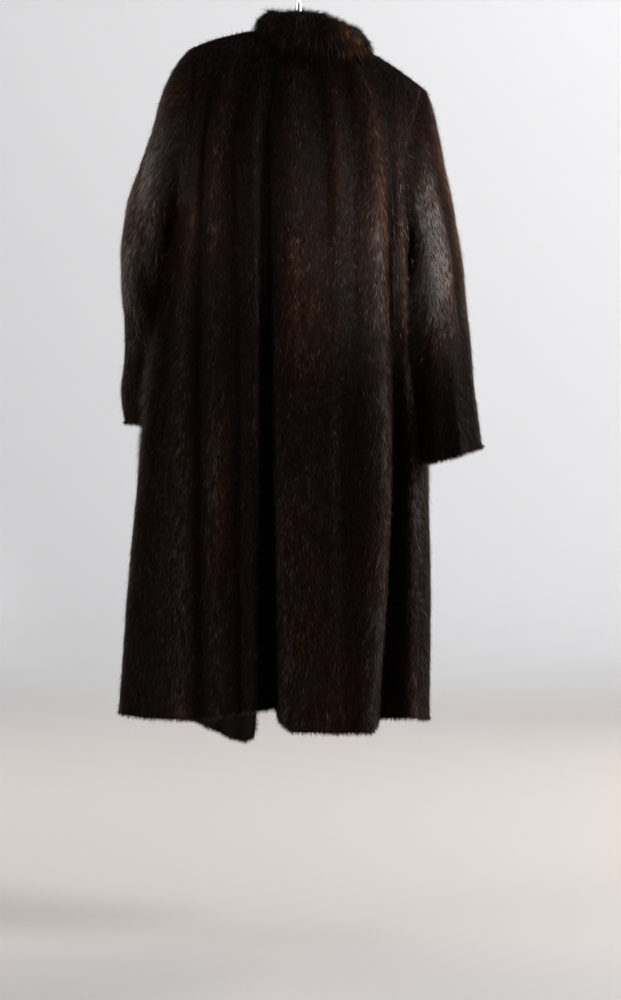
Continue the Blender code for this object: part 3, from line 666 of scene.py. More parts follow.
def row_levels():
    """(level, share of the height above the armpit, share of the fall below it, armhole angle) by row."""
    rows = []
    for row in range(UPPER_ROWS):
        angle = math.pi * (1 - row / UPPER_ROWS)
        height = (1 - math.cos(angle)) / 2
        rows.append((ARMPIT_LEVEL * (1 - height), height, 0.0, angle))
    for row in range(LOWER_ROWS + 1):
        fall = row / LOWER_ROWS
        rows.append((ARMPIT_LEVEL + (LAST_LEVEL - ARMPIT_LEVEL) * fall, 0.0, fall, 0.0))
    return rows


def panel_grid(skin, guides, half):
    """The point numbers of a body panel, by row from the top and by column from its first guide."""
    xs = [np.array(guide.x) * MM for guide in guides]
    rises = [np.array(guide.rise) * MM for guide in guides]
    hems = [np.full(LAST_LEVEL + 1, guide.hem_z * MM) for guide in guides]
    depths = np.array(half.depths) * MM
    rounding = half.rounding
    places = column_places(guides)
    grid = []
    for level, height, fall, angle in row_levels():
        left, right = (spline(np.array(seam.x) * MM, level) for seam in (LEFT_SEAM, RIGHT_SEAM))
        centre = (left + right) / 2
        half_width = (right - left) / 2
        swell = spline(depths, level)
        row = []
        for place in places:
            x = guide_value(xs, place, level)
            top_z, top_depth = neck_shape(guide_value(xs, place, 0.0), half)
            hem_z = guide_value(hems, place, 0.0)
            crown = math.sqrt(1 - height**SHOULDER_ROUNDING)
            inside = top_depth + (swell - top_depth) * crown if height else swell
            edge = min(ARMHOLE_DEPTH * math.sin(angle) / max(inside, MM), 1.0) ** rounding
            across = min(abs(x - centre) / half_width, 1.0) ** rounding
            depth = inside * (1 - across * (1 - edge)) ** (1 / rounding) if height < 1 else top_depth
            z = ARMPIT_Z + height * (top_z - ARMPIT_Z) + fall * (hem_z - ARMPIT_Z)
            rise = guide_rise(rises, place, level)
            row.append(skin.add(slanted((x, half.outward * depth, z)), rise, half.outward))
        grid.append(row)
    return grid


def ring_points(ring, side, count):
    """The points round a sleeve's ring, from its inner point round the back to the outer point and on."""
    outer = np.array((ring.outer_x, 0, ring.outer_z)) * MM
    inner = np.array((ring.inner_x, 0, ring.inner_z)) * MM
    turn = math.radians(ring.turn)
    half = (outer - inner) / 2
    half_turned = np.array((half[0] * math.cos(turn), side * half[0] * math.sin(turn), half[2]))
    deep = np.array((side * math.sin(turn), -math.cos(turn), 0)) * ring.depth * MM
    middle = (outer + inner) / 2 + np.array((0, ring.forward * MM, 0))
    angles = [2 * math.pi * index / count for index in range(count)]
    return [middle - half_turned * math.cos(a) + deep * math.sin(a) for a in angles]


def crease_rise(creases, ring, degrees):
    total = 0.0
    for crease in creases:
        along = (degrees - crease.angle_a) / (crease.angle_b - crease.angle_a)
        along = min(max(along, 0.0), 1.0)
        across = (ring - crease.ring_a) / (crease.ring_b - crease.ring_a)
        along = (along + min(max(across, 0.0), 1.0)) / 2
        away_ring = ring - (crease.ring_a + along * (crease.ring_b - crease.ring_a))
        away_angle = degrees - (crease.angle_a + along * (crease.angle_b - crease.angle_a))
        total += crease.rise * MM * math.exp(
            -((away_ring / crease.rings) ** 2) - (away_angle / crease.degrees) ** 2
        )
    return total


def sleeve_grid(skin, armhole, rings, creases, side):
    """The point numbers of a sleeve by ring. The armhole's own shape dies out over the first rings."""
    shoulder_x = rings[0].outer_x * MM
    count = len(armhole)
    ideal = [slanted_sleeve(point, shoulder_x) for point in ring_points(rings[0], side, count)]
    offsets = [skin.points[index] - point for index, point in zip(armhole, ideal)]
    grid = [armhole]
    for number, ring in enumerate(rings[1:], start=1):
        keep = max(0.0, 1 - number / ARMHOLE_FADE_RINGS) ** ARMHOLE_FADE_POWER
        row = []
        for index, point in enumerate(ring_points(ring, side, count)):
            place = slanted_sleeve(point, shoulder_x) + keep * offsets[index]
            rise = crease_rise(creases, number, 360 * index / count)
            row.append(skin.add(place, rise * smoothstep(number / CREASE_FADE_RINGS)))
        grid.append(row)
    return grid


def collar_section(across, side_section):
    """The collar's section by place: 0 at the centre back, 1 at the neck points and 2 at the fronts."""
    if across < 1:
        part = smoothstep(across)
        low, high = COLLAR_BACK, side_section
    else:
        part = smoothstep(COLLAR_OPENING_RATE * (across - 1))
        low, high = side_section, COLLAR_FRONT
    return CollarSection(*((1 - part) * a + part * b for a, b in zip(low, high)))


def collar_profile(section):
    """(out, up) from the neckline: up the stand, round the roll and down the fall."""
    stand = section.stand * MM
    roll = section.roll * MM
    fall = section.fall * MM
    flare = math.radians(section.flare)
    path = [(0.0, stand * row / COLLAR_STAND_ROWS) for row in range(1, COLLAR_STAND_ROWS + 1)]
    for row in range(1, COLLAR_ROLL_ROWS + 1):
        turn = (math.pi - flare) * row / COLLAR_ROLL_ROWS
        path.append((roll * (1 - math.cos(turn)), stand + roll * math.sin(turn)))
    out, up = path[-1]
    for row in range(1, COLLAR_FALL_ROWS + 1):
        length = fall * row / COLLAR_FALL_ROWS
        path.append((out + length * math.sin(flare), up - length * math.cos(flare)))
    return path


def collar_grid(skin, neckline, front_count):
    """The collar stands on the neckline, rolls over and falls outside. Columns run along the neckline."""
    points = np.array([skin.points[index] for index in neckline])
    surface = skin.normals()[neckline]
    last = len(neckline) - 1
    middle = last / 2
    columns = []
    for index, point in enumerate(points):
        before = points[max(index - 1, 0)]
        after = points[min(index + 1, last)]
        from_front = min(index, last - index)
        if from_front < front_count:
            across = 2 - from_front / front_count
        else:
            across = abs(index - middle) / (middle - front_count)
        lean = min(COLLAR_LEAN_GAIN * across, 1.0)
        rising = units((1 - lean) * np.array((0.0, 0.0, 1.0)) + lean * surface[index])
        out = units(np.cross(after - before, rising))
        columns.append([neckline[index]])
        section = collar_section(across, COLLAR_LEFT if index < middle else COLLAR_RIGHT)
        for away, up in collar_profile(section):
            columns[-1].append(skin.add(point + away * out + up * rising))
    return [list(row) for row in zip(*columns)]


def column_of_guide(panel, name):
    guides = GUIDES[panel]
    wanted = [guide.name for guide in guides].index(name)
    return column_places(guides).index(float(wanted))


class Patch:
    """A panel as a smooth surface, read at any row and column between its points."""

    def __init__(self, name, points, normals, places, painted_shading, wrap):
        self.name = name
        self.wrap = wrap
        self.rows, self.columns = points.shape[:2]
        if name == "collar":
            # The collar is turned over, so its fur grows on the wall's other face.
            points = points - normals * WALL
            normals = -normals
        self.points = self.framed(points)
        self.normals = self.framed(normals)
        self.places = self.framed(np.broadcast_to(places, points.shape[:2])[..., None])
        self.painted_shading = self.framed(painted_shading)
        wide = np.concatenate((points, points[:, :1]), axis=1) if wrap else points
        down = cumulative(points, 0)
        across = cumulative(wide, 1)
        self.width = across.max()
        self.length = down.max()
        self.lengths = self.framed(np.dstack((across[:, : self.columns], down)))
        top, hem, first, last = INSETS.get(name, PLAIN_INSET)
        self.low_row = top
        self.high_row = self.rows - 1 - hem
        self.low_column = first
        self.high_column = wide.shape[1] - 1 - last
        cells = np.cross(wide[1:, 1:] - wide[:-1, :-1], wide[1:, :-1] - wide[:-1, 1:])
        self.cell_areas = np.linalg.norm(cells, axis=2) / 2
        self.area = self.cell_areas.sum()

    def framed(self, values):
        """The grid with one more row and column all round, so that every cell has neighbours."""
        values = np.concatenate((2 * values[:1] - values[1:2], values, 2 * values[-1:] - values[-2:-1]))
        if self.wrap:
            return np.concatenate((values[:, -1:], values, values[:, :2]), axis=1)
        first = 2 * values[:, :1] - values[:, 1:2]
        last = 2 * values[:, -1:] - values[:, -2:-1]
        return np.concatenate((first, values, last), axis=1)

    def read(self, values, rows, columns, slope=None):
        """Values, or their slope along rows or columns, on smooth curves through the grid's own."""
        row = np.clip(rows.astype(int), 0, self.rows - 2)
        column = np.clip(columns.astype(int), 0, self.columns - (1 if self.wrap else 2))
        row_weights = curve_weights(rows - row, slope == "rows")
        column_weights = curve_weights(columns - column, slope == "columns")
        total = 0.0
        for i in range(4):
            for j in range(4):
                weight = (row_weights[i] * column_weights[j])[..., None]
                total = total + weight * values[row + i, column + j]
        return total

    def frame_at(self, rows, columns):
        """Point, the direction that hairs stand away from, downward direction and offset normal."""
        point = self.read(self.points, rows, columns)
        down = units(self.read(self.points, rows, columns, "rows"))
        across = self.read(self.points, rows, columns, "columns")
        offset = units(self.read(self.normals, rows, columns))
        normal = units(np.cross(down, across))
        normal *= np.sign((normal * offset).sum(-1, keepdims=True))
        return point, units(normal + PELT_NORMAL_SHARE * offset), down, offset

    def scattered(self, count, rng):
        """Random places, even over the area, as rows and columns."""
        total = np.cumsum(self.cell_areas.ravel())
        marks = (np.arange(count) + rng.random(count)) / count * total[-1]
        cell = np.searchsorted(total, marks)
        row, column = np.divmod(cell, self.cell_areas.shape[1])
        rows = row + rng.random(count)
        columns = column + rng.random(count)
        kept = (rows > self.low_row) & (rows < self.high_row)
        kept &= (columns > self.low_column) & (columns < self.high_column)
        return rows[kept], columns[kept]


def cumulative(points, axis):
    """Distance of each point from the first one along an axis of the grid, point by point."""
    steps = np.linalg.norm(np.diff(points, axis=axis), axis=2)
    start = np.zeros_like(np.take(steps, [0], axis=axis))
    return np.concatenate((start, np.cumsum(steps, axis=axis)), axis=axis)


def curve_weights(part, slope):
    """Weights of four neighbours on a smooth curve, or of its slope."""
    if slope:
        return (
            0.5 * (-1 + 4 * part - 3 * part**2),
            0.5 * (-10 * part + 9 * part**2),
            0.5 * (1 + 8 * part - 9 * part**2),
            0.5 * (-2 * part + 3 * part**2),
        )
    return (
        0.5 * (-part + 2 * part**2 - part**3),
        0.5 * (2 - 5 * part**2 + 3 * part**3),
        0.5 * (part + 4 * part**2 - 3 * part**3),
        0.5 * (-(part**2) + part**3),
    )


def noise_table(seed):
    return np.random.default_rng(seed).random((NOISE_SIZE, NOISE_SIZE)) * 2 - 1


def wave_at(wave, across, along):
    """Smooth noise from -1 to 1, one lump to each of the wave's widths and lengths."""
    table = noise_table(wave.seed)
    x = across / wave.across
    y = along / wave.along
    column = np.floor(x).astype(int)
    row = np.floor(y).astype(int)
    part_x = smoothstep(x - column)
    part_y = smoothstep(y - row)
    total = 0.0
    for i, weight_y in ((0, 1 - part_y), (1, part_y)):
        for j, weight_x in ((0, 1 - part_x), (1, part_x)):
            total = total + weight_x * weight_y * table[(row + i) % NOISE_SIZE, (column + j) % NOISE_SIZE]
    return total


def relief_of(rises, wrap):
    """How far each point of a panel stands out of the mean of its row nearby, from -1 to 1."""
    columns = rises.shape[1]
    mean = np.zeros_like(rises)
    total = 0.0
    for step in range(-RELIEF_COLUMNS, RELIEF_COLUMNS + 1):
        weight = RELIEF_COLUMNS + 1 - abs(step)
        beside = np.arange(columns) + step
        beside = beside % columns if wrap else beside.clip(0, columns - 1)
        mean += weight * rises[:, beside]
        total += weight
    return ((rises - mean / total) / RELIEF_DEPTH).clip(-1, 1)


def back_painted_shading():
    """Painted light and shade, and warmth, of each point of the back, from the guides."""
    plain = PaintedShading(0.0, 0.0, 0.0, 0.0)
    painted_shadings = np.array([BACK_PAINTED_SHADING.get(guide.name, plain) for guide in BACK_GUIDES])
    across = np.array([spline(painted_shadings, place) for place in column_places(BACK_GUIDES)])
    row = np.arange(UPPER_ROWS + LOWER_ROWS + 1)[:, None]
    above = (row / UPPER_ROWS).clip(0, 1)
    below = ((row - UPPER_ROWS) / LOWER_ROWS).clip(0, 1)
    light = across[:, 0] * (1 - above) + across[:, 1] * (above - below) + across[:, 2] * below
    return np.dstack((light, np.broadcast_to(across[:, 3], light.shape)))


def spotted_painted_shading(spots, rows, columns):
    """Painted light and shade, and warmth, of each point of a sleeve or the collar."""
    row, column = np.meshgrid(np.arange(rows), np.arange(columns), indexing="ij")
    total = np.zeros((rows, columns, 2))
    for spot in spots:
        turned = (column / columns * 360 - spot.angle + 180) % 360 - 180
        share = np.exp(-(((row - spot.row) / spot.rows) ** 2) - (turned / spot.degrees) ** 2)
        total += share[..., None] * (spot.light, spot.warmth)
    return total


def coat_grids(skin):
    """The point numbers of every panel, by row and column, on the one skin."""
    grids = {}
    for name, guides in GUIDES.items():
        grids[name] = panel_grid(skin, guides, BACK_HALF if name == "back" else FRONT_HALF)
    for name in GUIDES:
        skin.cover(name, grids[name], flip=name == "front_left")
    upper = range(UPPER_ROWS + 1)
    for name, front, column, rings, creases, side in (
        ("sleeve_left", "front_left", 0, LEFT_RINGS, LEFT_CREASES, -1),
        ("sleeve_right", "front_right", -1, RIGHT_RINGS, RIGHT_CREASES, 1),
    ):
        behind = [grids["back"][row][column] for row in reversed(upper)]
        before = [grids[front][row][0] for row in upper][1:-1]
        grids[name] = sleeve_grid(skin, behind + before, rings, creases, side)
        skin.cover(name, grids[name], flip=side < 0, wrap=True)
    neck_left = column_of_guide("back", "neck_left")
    neck_right = column_of_guide("back", "neck_right")
    left_part = grids["front_left"][0][column_of_guide("front_left", "neck_left") + 1 :][::-1]
    right_part = grids["front_right"][0][column_of_guide("front_right", "neck_right") + 1 :]
    neckline = left_part + grids["back"][0][neck_left : neck_right + 1] + right_part
    grids["collar"] = collar_grid(skin, neckline, len(left_part))
    skin.cover("collar", grids["collar"], flip=True)
    return grids


def coat_patches():
    """The coat's panels as patches, from the same grids as the solids."""
    skin = Skin()
    grids = coat_grids(skin)
    eased_names = [name for name in grids if name != "collar"]
    normals = skin.eased(skin.normals(), eased_names, EASING_ROUNDS)
    leans = units(normals + np.array(skin.straight))
    rises = np.array(skin.rises)
    points = np.array(skin.points) + leans * rises[:, None]
    patches = {}
    for name, grid in grids.items():
        numbers = np.array(grid)
        columns = numbers.shape[1]
        wrap = name.startswith("sleeve")
        if wrap:
            places = np.arange(columns) / columns * SLEEVE_PELTS
        elif name == "collar":
            places = np.arange(columns) / (columns - 1) * COLLAR_PELTS
        else:
            places = np.array(column_places(GUIDES[name])) / GUIDES_PER_PELT
        # Ridges get painted sheen and grooves painted shade in the tone, and ridges are painted greyer.
        painted_shading = relief_of(rises[numbers], wrap)[..., None] * (RELIEF_PAINTED_SHADE, -RELIEF_PAINTED_SHADE)
        if name == "back":
            painted_shading += back_painted_shading()
        elif name in SPOTS:
            painted_shading += spotted_painted_shading(SPOTS[name], *numbers.shape)
        patches[name] = Patch(name, points[numbers], normals[numbers], places, painted_shading, wrap)
    return patches


def new_mesh(name, vertices, faces_flat, sizes):
    """A mesh from flat arrays: vertex places, corner numbers and the number of corners of each face."""
    mesh = bpy.data.meshes.new(name)
    mesh.vertices.add(len(vertices))
    mesh.vertices.foreach_set("co", np.ascontiguousarray(vertices, np.float32).ravel())
    mesh.loops.add(len(faces_flat))
    mesh.loops.foreach_set("vertex_index", np.ascontiguousarray(faces_flat, np.int32))
    mesh.polygons.add(len(sizes))
    starts = np.concatenate(((0,), np.cumsum(sizes)[:-1])).astype(np.int32)
    mesh.polygons.foreach_set("loop_start", starts)
    mesh.update(calc_edges=True)
    return mesh


def add_map(mesh, places, corners):
    """The map OFBake, from each vertex's place on it."""
    layer = mesh.uv_layers.new(name="OFBake")
    layer.uv.foreach_set("vector", np.ascontiguousarray(places[corners], np.float32).ravel())


def linked(name, data):
    made = bpy.data.objects.new(name, data)
    bpy.context.scene.collection.objects.link(made)
    return made


def add_piece(name, mesh, materials):
    for made in materials:
        mesh.materials.append(made)
    piece = linked(name, mesh)
    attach(piece, "root")
    return piece


def make_pelt(patch, materials):
    """The pelt of a panel: a thin closed sheet, with the underfur outside and its flesh side inside."""
    row_steps, column_steps = SLEEVE_PELT_STEPS if patch.wrap else BODY_PELT_STEPS
    row_count = (patch.rows - 1) * row_steps + 1
    column_count = (patch.columns - (0 if patch.wrap else 1)) * column_steps + 1
    rows = np.linspace(patch.low_row, patch.high_row, row_count)
    columns = np.linspace(patch.low_column, patch.high_column, column_count)
    if patch.wrap:
        columns = columns[:-1]
    numbers = np.arange(row_count * len(columns)).reshape(row_count, len(columns))
    if patch.wrap:
        numbers = np.hstack((numbers, numbers[:, :1]))
    rows, columns = (grid.ravel() for grid in np.meshgrid(rows, columns, indexing="ij"))
    point, _, _, offset = patch.frame_at(rows, columns)
    layers = np.concatenate((point - offset * PELT_OUTER, point - offset * PELT_INNER))
    left = numbers[:, :-1]
    right = numbers[:, 1:]
    quads = np.stack((left[:-1], left[1:], right[1:], right[:-1]), axis=-1).reshape(-1, 4)
    below = len(point)
    faces = [quads, quads[:, ::-1] + below]
    edges = [numbers[0], numbers[-1][::-1]]
    if not patch.wrap:
        edges += [numbers[::-1, 0], numbers[:, -1]]
    for edge in edges:
        faces.append(np.stack((edge[:-1], edge[1:], edge[1:] + below, edge[:-1] + below), axis=-1))
    faces = np.concatenate(faces)
    mesh = new_mesh(patch.name + "_pelt", layers, faces.ravel(), np.full(len(faces), 4))
    corners = layers[quads]
    normal = np.cross(corners[:, 2] - corners[:, 0], corners[:, 3] - corners[:, 1])
    if (normal * offset[quads[:, 0]]).sum() < 0:
        mesh.flip_normals()
    inner = np.zeros(len(faces), np.int32)
    inner[len(quads) : 2 * len(quads)] = 1
    mesh.polygons.foreach_set("material_index", inner)
    mesh.shade_smooth()
    mesh.set_sharp_from_angle(angle=math.radians(PELT_SHARP_ANGLE))
    spread = patch.read(patch.lengths, rows, columns)
    spread = spread / (patch.width * PELT_MAP[0], patch.length * PELT_MAP[1])
    add_map(mesh, np.concatenate((spread, spread + (PELT_MAP_INNER, 0.0))), faces.ravel())
    return add_piece(patch.name + "_pelt", mesh, materials)


def tufts(across, along):
    """Each place's tuft: how far off its middle line the place is, and a number of its own from -1 to 1."""
    table = noise_table(TUFT_SEED)
    sideways = across / TUFT_WIDTH + TUFT_WANDERING * wave_at(TUFT_WANDER, across, along)
    column = np.floor(sideways).astype(int)
    stagger = table[column % NOISE_SIZE, 0] * TUFT_STAGGER
    row = np.floor(along / TUFT_LENGTH + stagger).astype(int)
    return (column + 0.5 - sideways) * TUFT_WIDTH, table[row % NOISE_SIZE, column % NOISE_SIZE]


def within(span, places):
    """From 0 to 1: full within the span, less over its rise after the start and its fall before the end."""
    return ((places - span.start) / span.rise).clip(0, 1) * ((span.end - places) / span.fall).clip(0, 1)


def crowded(patch, rows, columns):
    """From 0 to 1: how much the sleeve and the body's side, or the body and the collar, press together."""
    if patch.name == "collar":
        return np.zeros(len(rows))
    if patch.wrap:
        around = np.abs((columns / patch.columns + 0.5) % 1.0 - 0.5) * 2
        return (1 - around / SLEEVE_SHARE).clip(0, 1) * within(SLEEVE_SPAN, rows)
    from_last = patch.columns - 1 - columns
    edges = {"back": np.minimum(columns, from_last), "front_left": columns, "front_right": from_last}
    beside_sleeve = (1 - edges[patch.name] / SIDE_COLUMNS).clip(0, 1) * within(SIDE_SPAN, rows)
    if patch.name != "back":
        return beside_sleeve
    neck_left = column_of_guide("back", "neck_left")
    neck_right = column_of_guide("back", "neck_right")
    neck = Span(neck_left - NECK_COLUMNS, 1, neck_right + NECK_COLUMNS, 1)
    return np.maximum(beside_sleeve, within(neck, columns) * (NECK_ROWS - rows).clip(0, 1))


def varied(rng, count, spread):
    return 1 + spread * rng.normal(size=count).clip(-2, 2)


def make_hairs(patch, name, kind, count, seed, material, part):
    """Hairs that lie down a panel, gathered in soft tufts, as one mesh of slim triangles."""
    rng = np.random.default_rng(seed)
    rows, columns = patch.scattered(count, rng)
    middle = patch.columns / 2
    if part:
        kept = (columns < middle) == (part == "_left")
        rows, columns = rows[kept], columns[kept]
    count = len(rows)
    point, normal, down, offset = patch.frame_at(rows, columns)
    across, along = patch.read(patch.lengths, rows, columns).T
    pelt = patch.read(patch.places, rows, columns)[:, 0]
    light, warmth = patch.read(patch.painted_shading, rows, columns).T
    side = units(np.cross(down, normal))
    aside, tuft = tufts(across, along)
    broad = wave_at(BROAD_WAVE, across, along)
    sway = FINE_SWAY_LEAN * wave_at(FINE_SWAY, across, along)
    sway += BROAD_SWAY_LEAN * wave_at(BROAD_SWAY, across, along)
    crowd = crowded(patch, rows, columns)
    lift = kind.lift + kind.spread * rng.normal(size=count) + TUFT_LIFT * tuft + BROAD_LIFT * broad
    lift += CROWDED_LIFT * crowd
    loose = rng.random(count) < kind.loose
    lift = np.where(loose, lift * rng.uniform(*LOOSE_LIFT, count), lift)
    lift = np.radians(lift.clip(*LIFT_RANGE))[:, None]
    length = kind.length * varied(rng, count, LENGTH_SPREAD) * (1 + TUFT_LENGTHENING * tuft)
    length *= 1 + CROWDED_LENGTH * crowd
    droop = np.full(count, kind.droop)
    lean = sway + LEAN_SPREAD * rng.normal(size=count) + TUFT_GATHER * aside / length
    if patch.name == "collar":
        hanging = ((rows - patch.high_row) / COLLAR_HANG_ROWS + 1).clip(0, 1)
        length *= 1 + COLLAR_HANG * hanging
        droop += COLLAR_DROOP * hanging
        combed = ((columns - middle) / middle).clip(-1, 1)
        lean += COLLAR_SWAY * sway + COLLAR_COMB * combed * (1 - hanging)
    else:
        hem = patch.read(patch.lengths, np.full(count, float(patch.high_row)), columns)[:, 1]
        reach = HEM_REACH[0] + (HEM_REACH[1] - HEM_REACH[0]) * rng.random(count) ** 2
        reach += HEM_RAGGED * (tuft + HEM_WAVE_SHARE * wave_at(HEM_WAVE, across, across))
        length = np.minimum(length, hem - along + reach)
    ahead = units(down + side * lean[:, None])
    rising = ahead * np.cos(lift) + normal * np.sin(lift)
    settled = ahead * np.cos(lift * SETTLED_LIFT) + normal * np.sin(lift * SETTLED_LIFT)
    falling = np.array((0.0, 0.0, -1.0)) * droop[:, None]
    rising = units(rising + RISING_DROOP * falling)
    settled = units(settled + falling)
    seam = np.abs((pelt % 1.0) - 0.5) * 2
    own = TUFT_TONE * tuft + kind.tone_spread * rng.normal(size=count)
    tone = MEAN_TONE + own + BROAD_TONE * broad + CLOUD_TONE * wave_at(CLOUD_WAVE, across, along)
    # The painted sheen and shade of folds and spots make the tone lighter or darker.
    tone += PELT_TONE * (0.5 - seam) + light
    warm = MEAN_WARMTH + STREAK_WARMTH * wave_at(RED_STREAKS, across, along) + warmth
    warm += CLOUD_WARMTH * wave_at(RED_CLOUDS, across, along) + PELT_WARMTH * (seam - 0.5)
    # Places with painted sheen are made greyer, as that sheen is grey.
    warm -= HAIR_COOLING * own + PLACE_COOLING * light
    root = point - offset * ROOT_DEPTH
    grown = Grown(root, rising, settled, normal, length, tone, warm, along, across)
    return hair_mesh(patch, name, kind, grown, rng, material)


def hair_mesh(patch, name, kind, grown, rng, material):
    """The hairs as one mesh, each of them as its kind's shape."""
    root, rising, settled, normal, length = grown[:5]
    shape = kind.shape
    count = len(root)
    length = length[:, None]
    roll = rng.normal(size=count)[:, None] * ROLL_SPREAD
    wide = units(np.cross(rising, normal))
    wide = wide * np.cos(roll) + np.cross(rising, wide) * np.sin(roll)
    half = wide * kind.width * rng.uniform(*WIDTH_RANGE, count)[:, None] / 2
    if shape is BENT:
        bend = root + rising * length * BEND_AT
        tip = bend + settled * length * (1 - BEND_AT)
        layers = (root - half, root + half, bend - half * BEND_WIDTH, bend + half * BEND_WIDTH, tip)
    else:
        tip = root + (rising * (1 - STRAIGHT_SETTLING) + settled * STRAIGHT_SETTLING) * length
        layers = (root - half, root + half, tip)
    each = len(layers)
    flat = (np.arange(count)[:, None] * each + np.array(shape.corners)).ravel()
    mesh = new_mesh(name, np.stack(layers, axis=1).reshape(-1, 3), flat, np.tile(shape.sizes, count))
    ruffle = rng.normal(size=(count, 3)) * kind.ruffle
    facing = []
    for direction in [rising] * (each - 1) + [settled]:
        square = units(normal - direction * (normal * direction).sum(-1, keepdims=True))
        facing.append(units(square * SQUARE_SHARE + normal * (1 - SQUARE_SHARE) + ruffle))
    mesh.polygons.foreach_set("use_smooth", np.ones(len(mesh.polygons), bool))
    mesh.normals_split_custom_set_from_vertices(np.stack(facing, axis=1).reshape(-1, 3))
    heights = np.tile(shape.heights, count)
    colours = {
        "tone": np.repeat(grown.tone.clip(0, 1), each),
        "warm": np.repeat(grown.warm.clip(0, 1), each),
        "height": heights,
    }
    for attribute, values in colours.items():
        made = mesh.attributes.new(attribute, "FLOAT", "POINT")
        made.data.foreach_set("value", np.ascontiguousarray(values, np.float32))
    across = np.repeat(grown.across / HAIR_MAP[0], each) + np.tile(shape.sides, count) * kind.width / 2
    along = (np.repeat(grown.along, each) + heights * kind.length) / HAIR_MAP[1]
    places = np.stack((across / patch.width, along / patch.length), axis=1)
    add_map(mesh, places.clip(MAP_BORDER, 1 - MAP_BORDER), flat)
    return add_piece(name, mesh, [material])


def edge_places(patch, edge, count, rng):
    """Random rows and columns along one edge of a panel."""
    place = rng.random(count)
    if edge == "hem":
        columns = patch.low_column + place * (patch.high_column - patch.low_column)
        return np.full(count, patch.high_row, float), columns
    column = patch.high_column if edge == "last" else patch.low_column
    return patch.low_row + place * (patch.high_row - patch.low_row), np.full(count, column, float)


def make_edge(patch, seed, material):
    """Short fur that rounds off a panel's free edges: the hem, and the front edges or the cuff."""
    rng = np.random.default_rng(seed)
    mean_tone, mean_warmth = COLLAR_EDGE_LOOK if patch.name == "collar" else EDGE_LOOK
    thickness = PELT_INNER - PELT_OUTER
    parts = []
    for edge in FREE_EDGES.get(patch.name, ("hem",)):
        run = patch.width if edge == "hem" else patch.length
        count = int(run * (thickness + EDGE_MARGIN) * EDGE_DENSITY)
        rows, columns = edge_places(patch, edge, count, rng)
        point, normal, down, offset = patch.frame_at(rows, columns)
        side = units(np.cross(down, normal))
        side *= np.sign((side * patch.read(patch.points, rows, columns, "columns")).sum(-1, keepdims=True))
        outward = {"hem": down, "last": side, "first": -side}[edge]
        depth = rng.random(count)
        turn = np.radians(EDGE.lift - EDGE_FAN * depth + EDGE.spread * rng.normal(size=count))[:, None]
        rising = outward * np.cos(turn) + normal * np.sin(turn)
        facing = units(rising + EDGE_NORMAL_SHARE * normal)
        sway = EDGE_SWAY * rng.normal(size=(count, 1))
        rising = units(rising + sway * (side if edge == "hem" else down))
        settled = units(rising + outward * EDGE_SETTLING[0] + down * EDGE_SETTLING[1])
        root = point - offset * (PELT_OUTER + depth * thickness)[:, None] - outward * EDGE_ROOT
        across, along = patch.read(patch.lengths, rows, columns).T
        length = EDGE.length * varied(rng, count, EDGE_LENGTH_SPREAD)
        tone = mean_tone + EDGE.tone_spread * rng.normal(size=count)
        warm = mean_warmth + EDGE.tone_spread * rng.normal(size=count)
        parts.append(Grown(root, rising, settled, facing, length, tone, warm, along, across))
    grown = Grown(*(np.concatenate(values) for values in zip(*parts)))
    return hair_mesh(patch, patch.name + "_edge", EDGE, grown, rng, material)


def add_node(tree, kind, values=(), **settings):
    """A shader node with its settings and the constants on its sockets."""
    made = tree.nodes.new(kind)
    for key, value in settings.items():
        setattr(made, key, value)
    for key, value in dict(values).items():
        made.inputs[key].default_value = value
    return made


def add_ramp(tree, stops, factor):
    """The colour of a factor, from the stops of a ramp."""
    made = add_node(tree, "ShaderNodeValToRGB")
    elements = made.color_ramp.elements
    while len(elements) < len(stops):
        elements.new(0.5)
    for element, (place, colour) in zip(elements, stops):
        element.position = place
        element.color = (*colour, 1.0)
    tree.links.new(factor, made.inputs["Fac"])
    return made.outputs["Color"]


def add_grain(tree, scales, detail):
    """Noise that is fixed to the object, finer along an axis where its scale is larger."""
    place = add_node(tree, "ShaderNodeTexCoord")
    scale = add_node(tree, "ShaderNodeMapping", {"Scale": scales})
    grain = add_node(tree, "ShaderNodeTexNoise", {"Scale": 1.0, "Detail": detail})
    tree.links.new(place.outputs["Object"], scale.inputs["Vector"])
    tree.links.new(scale.outputs["Vector"], grain.inputs["Vector"])
    return grain.outputs["Fac"]


def principled(name, values):
    """A material, its tree and its shader's sockets, some with constants."""
    made = bpy.data.materials.new(name)
    made.use_nodes = True
    sockets = made.node_tree.nodes["Principled BSDF"].inputs
    for key, value in values.items():
        sockets[key].default_value = value
    return made, made.node_tree, sockets


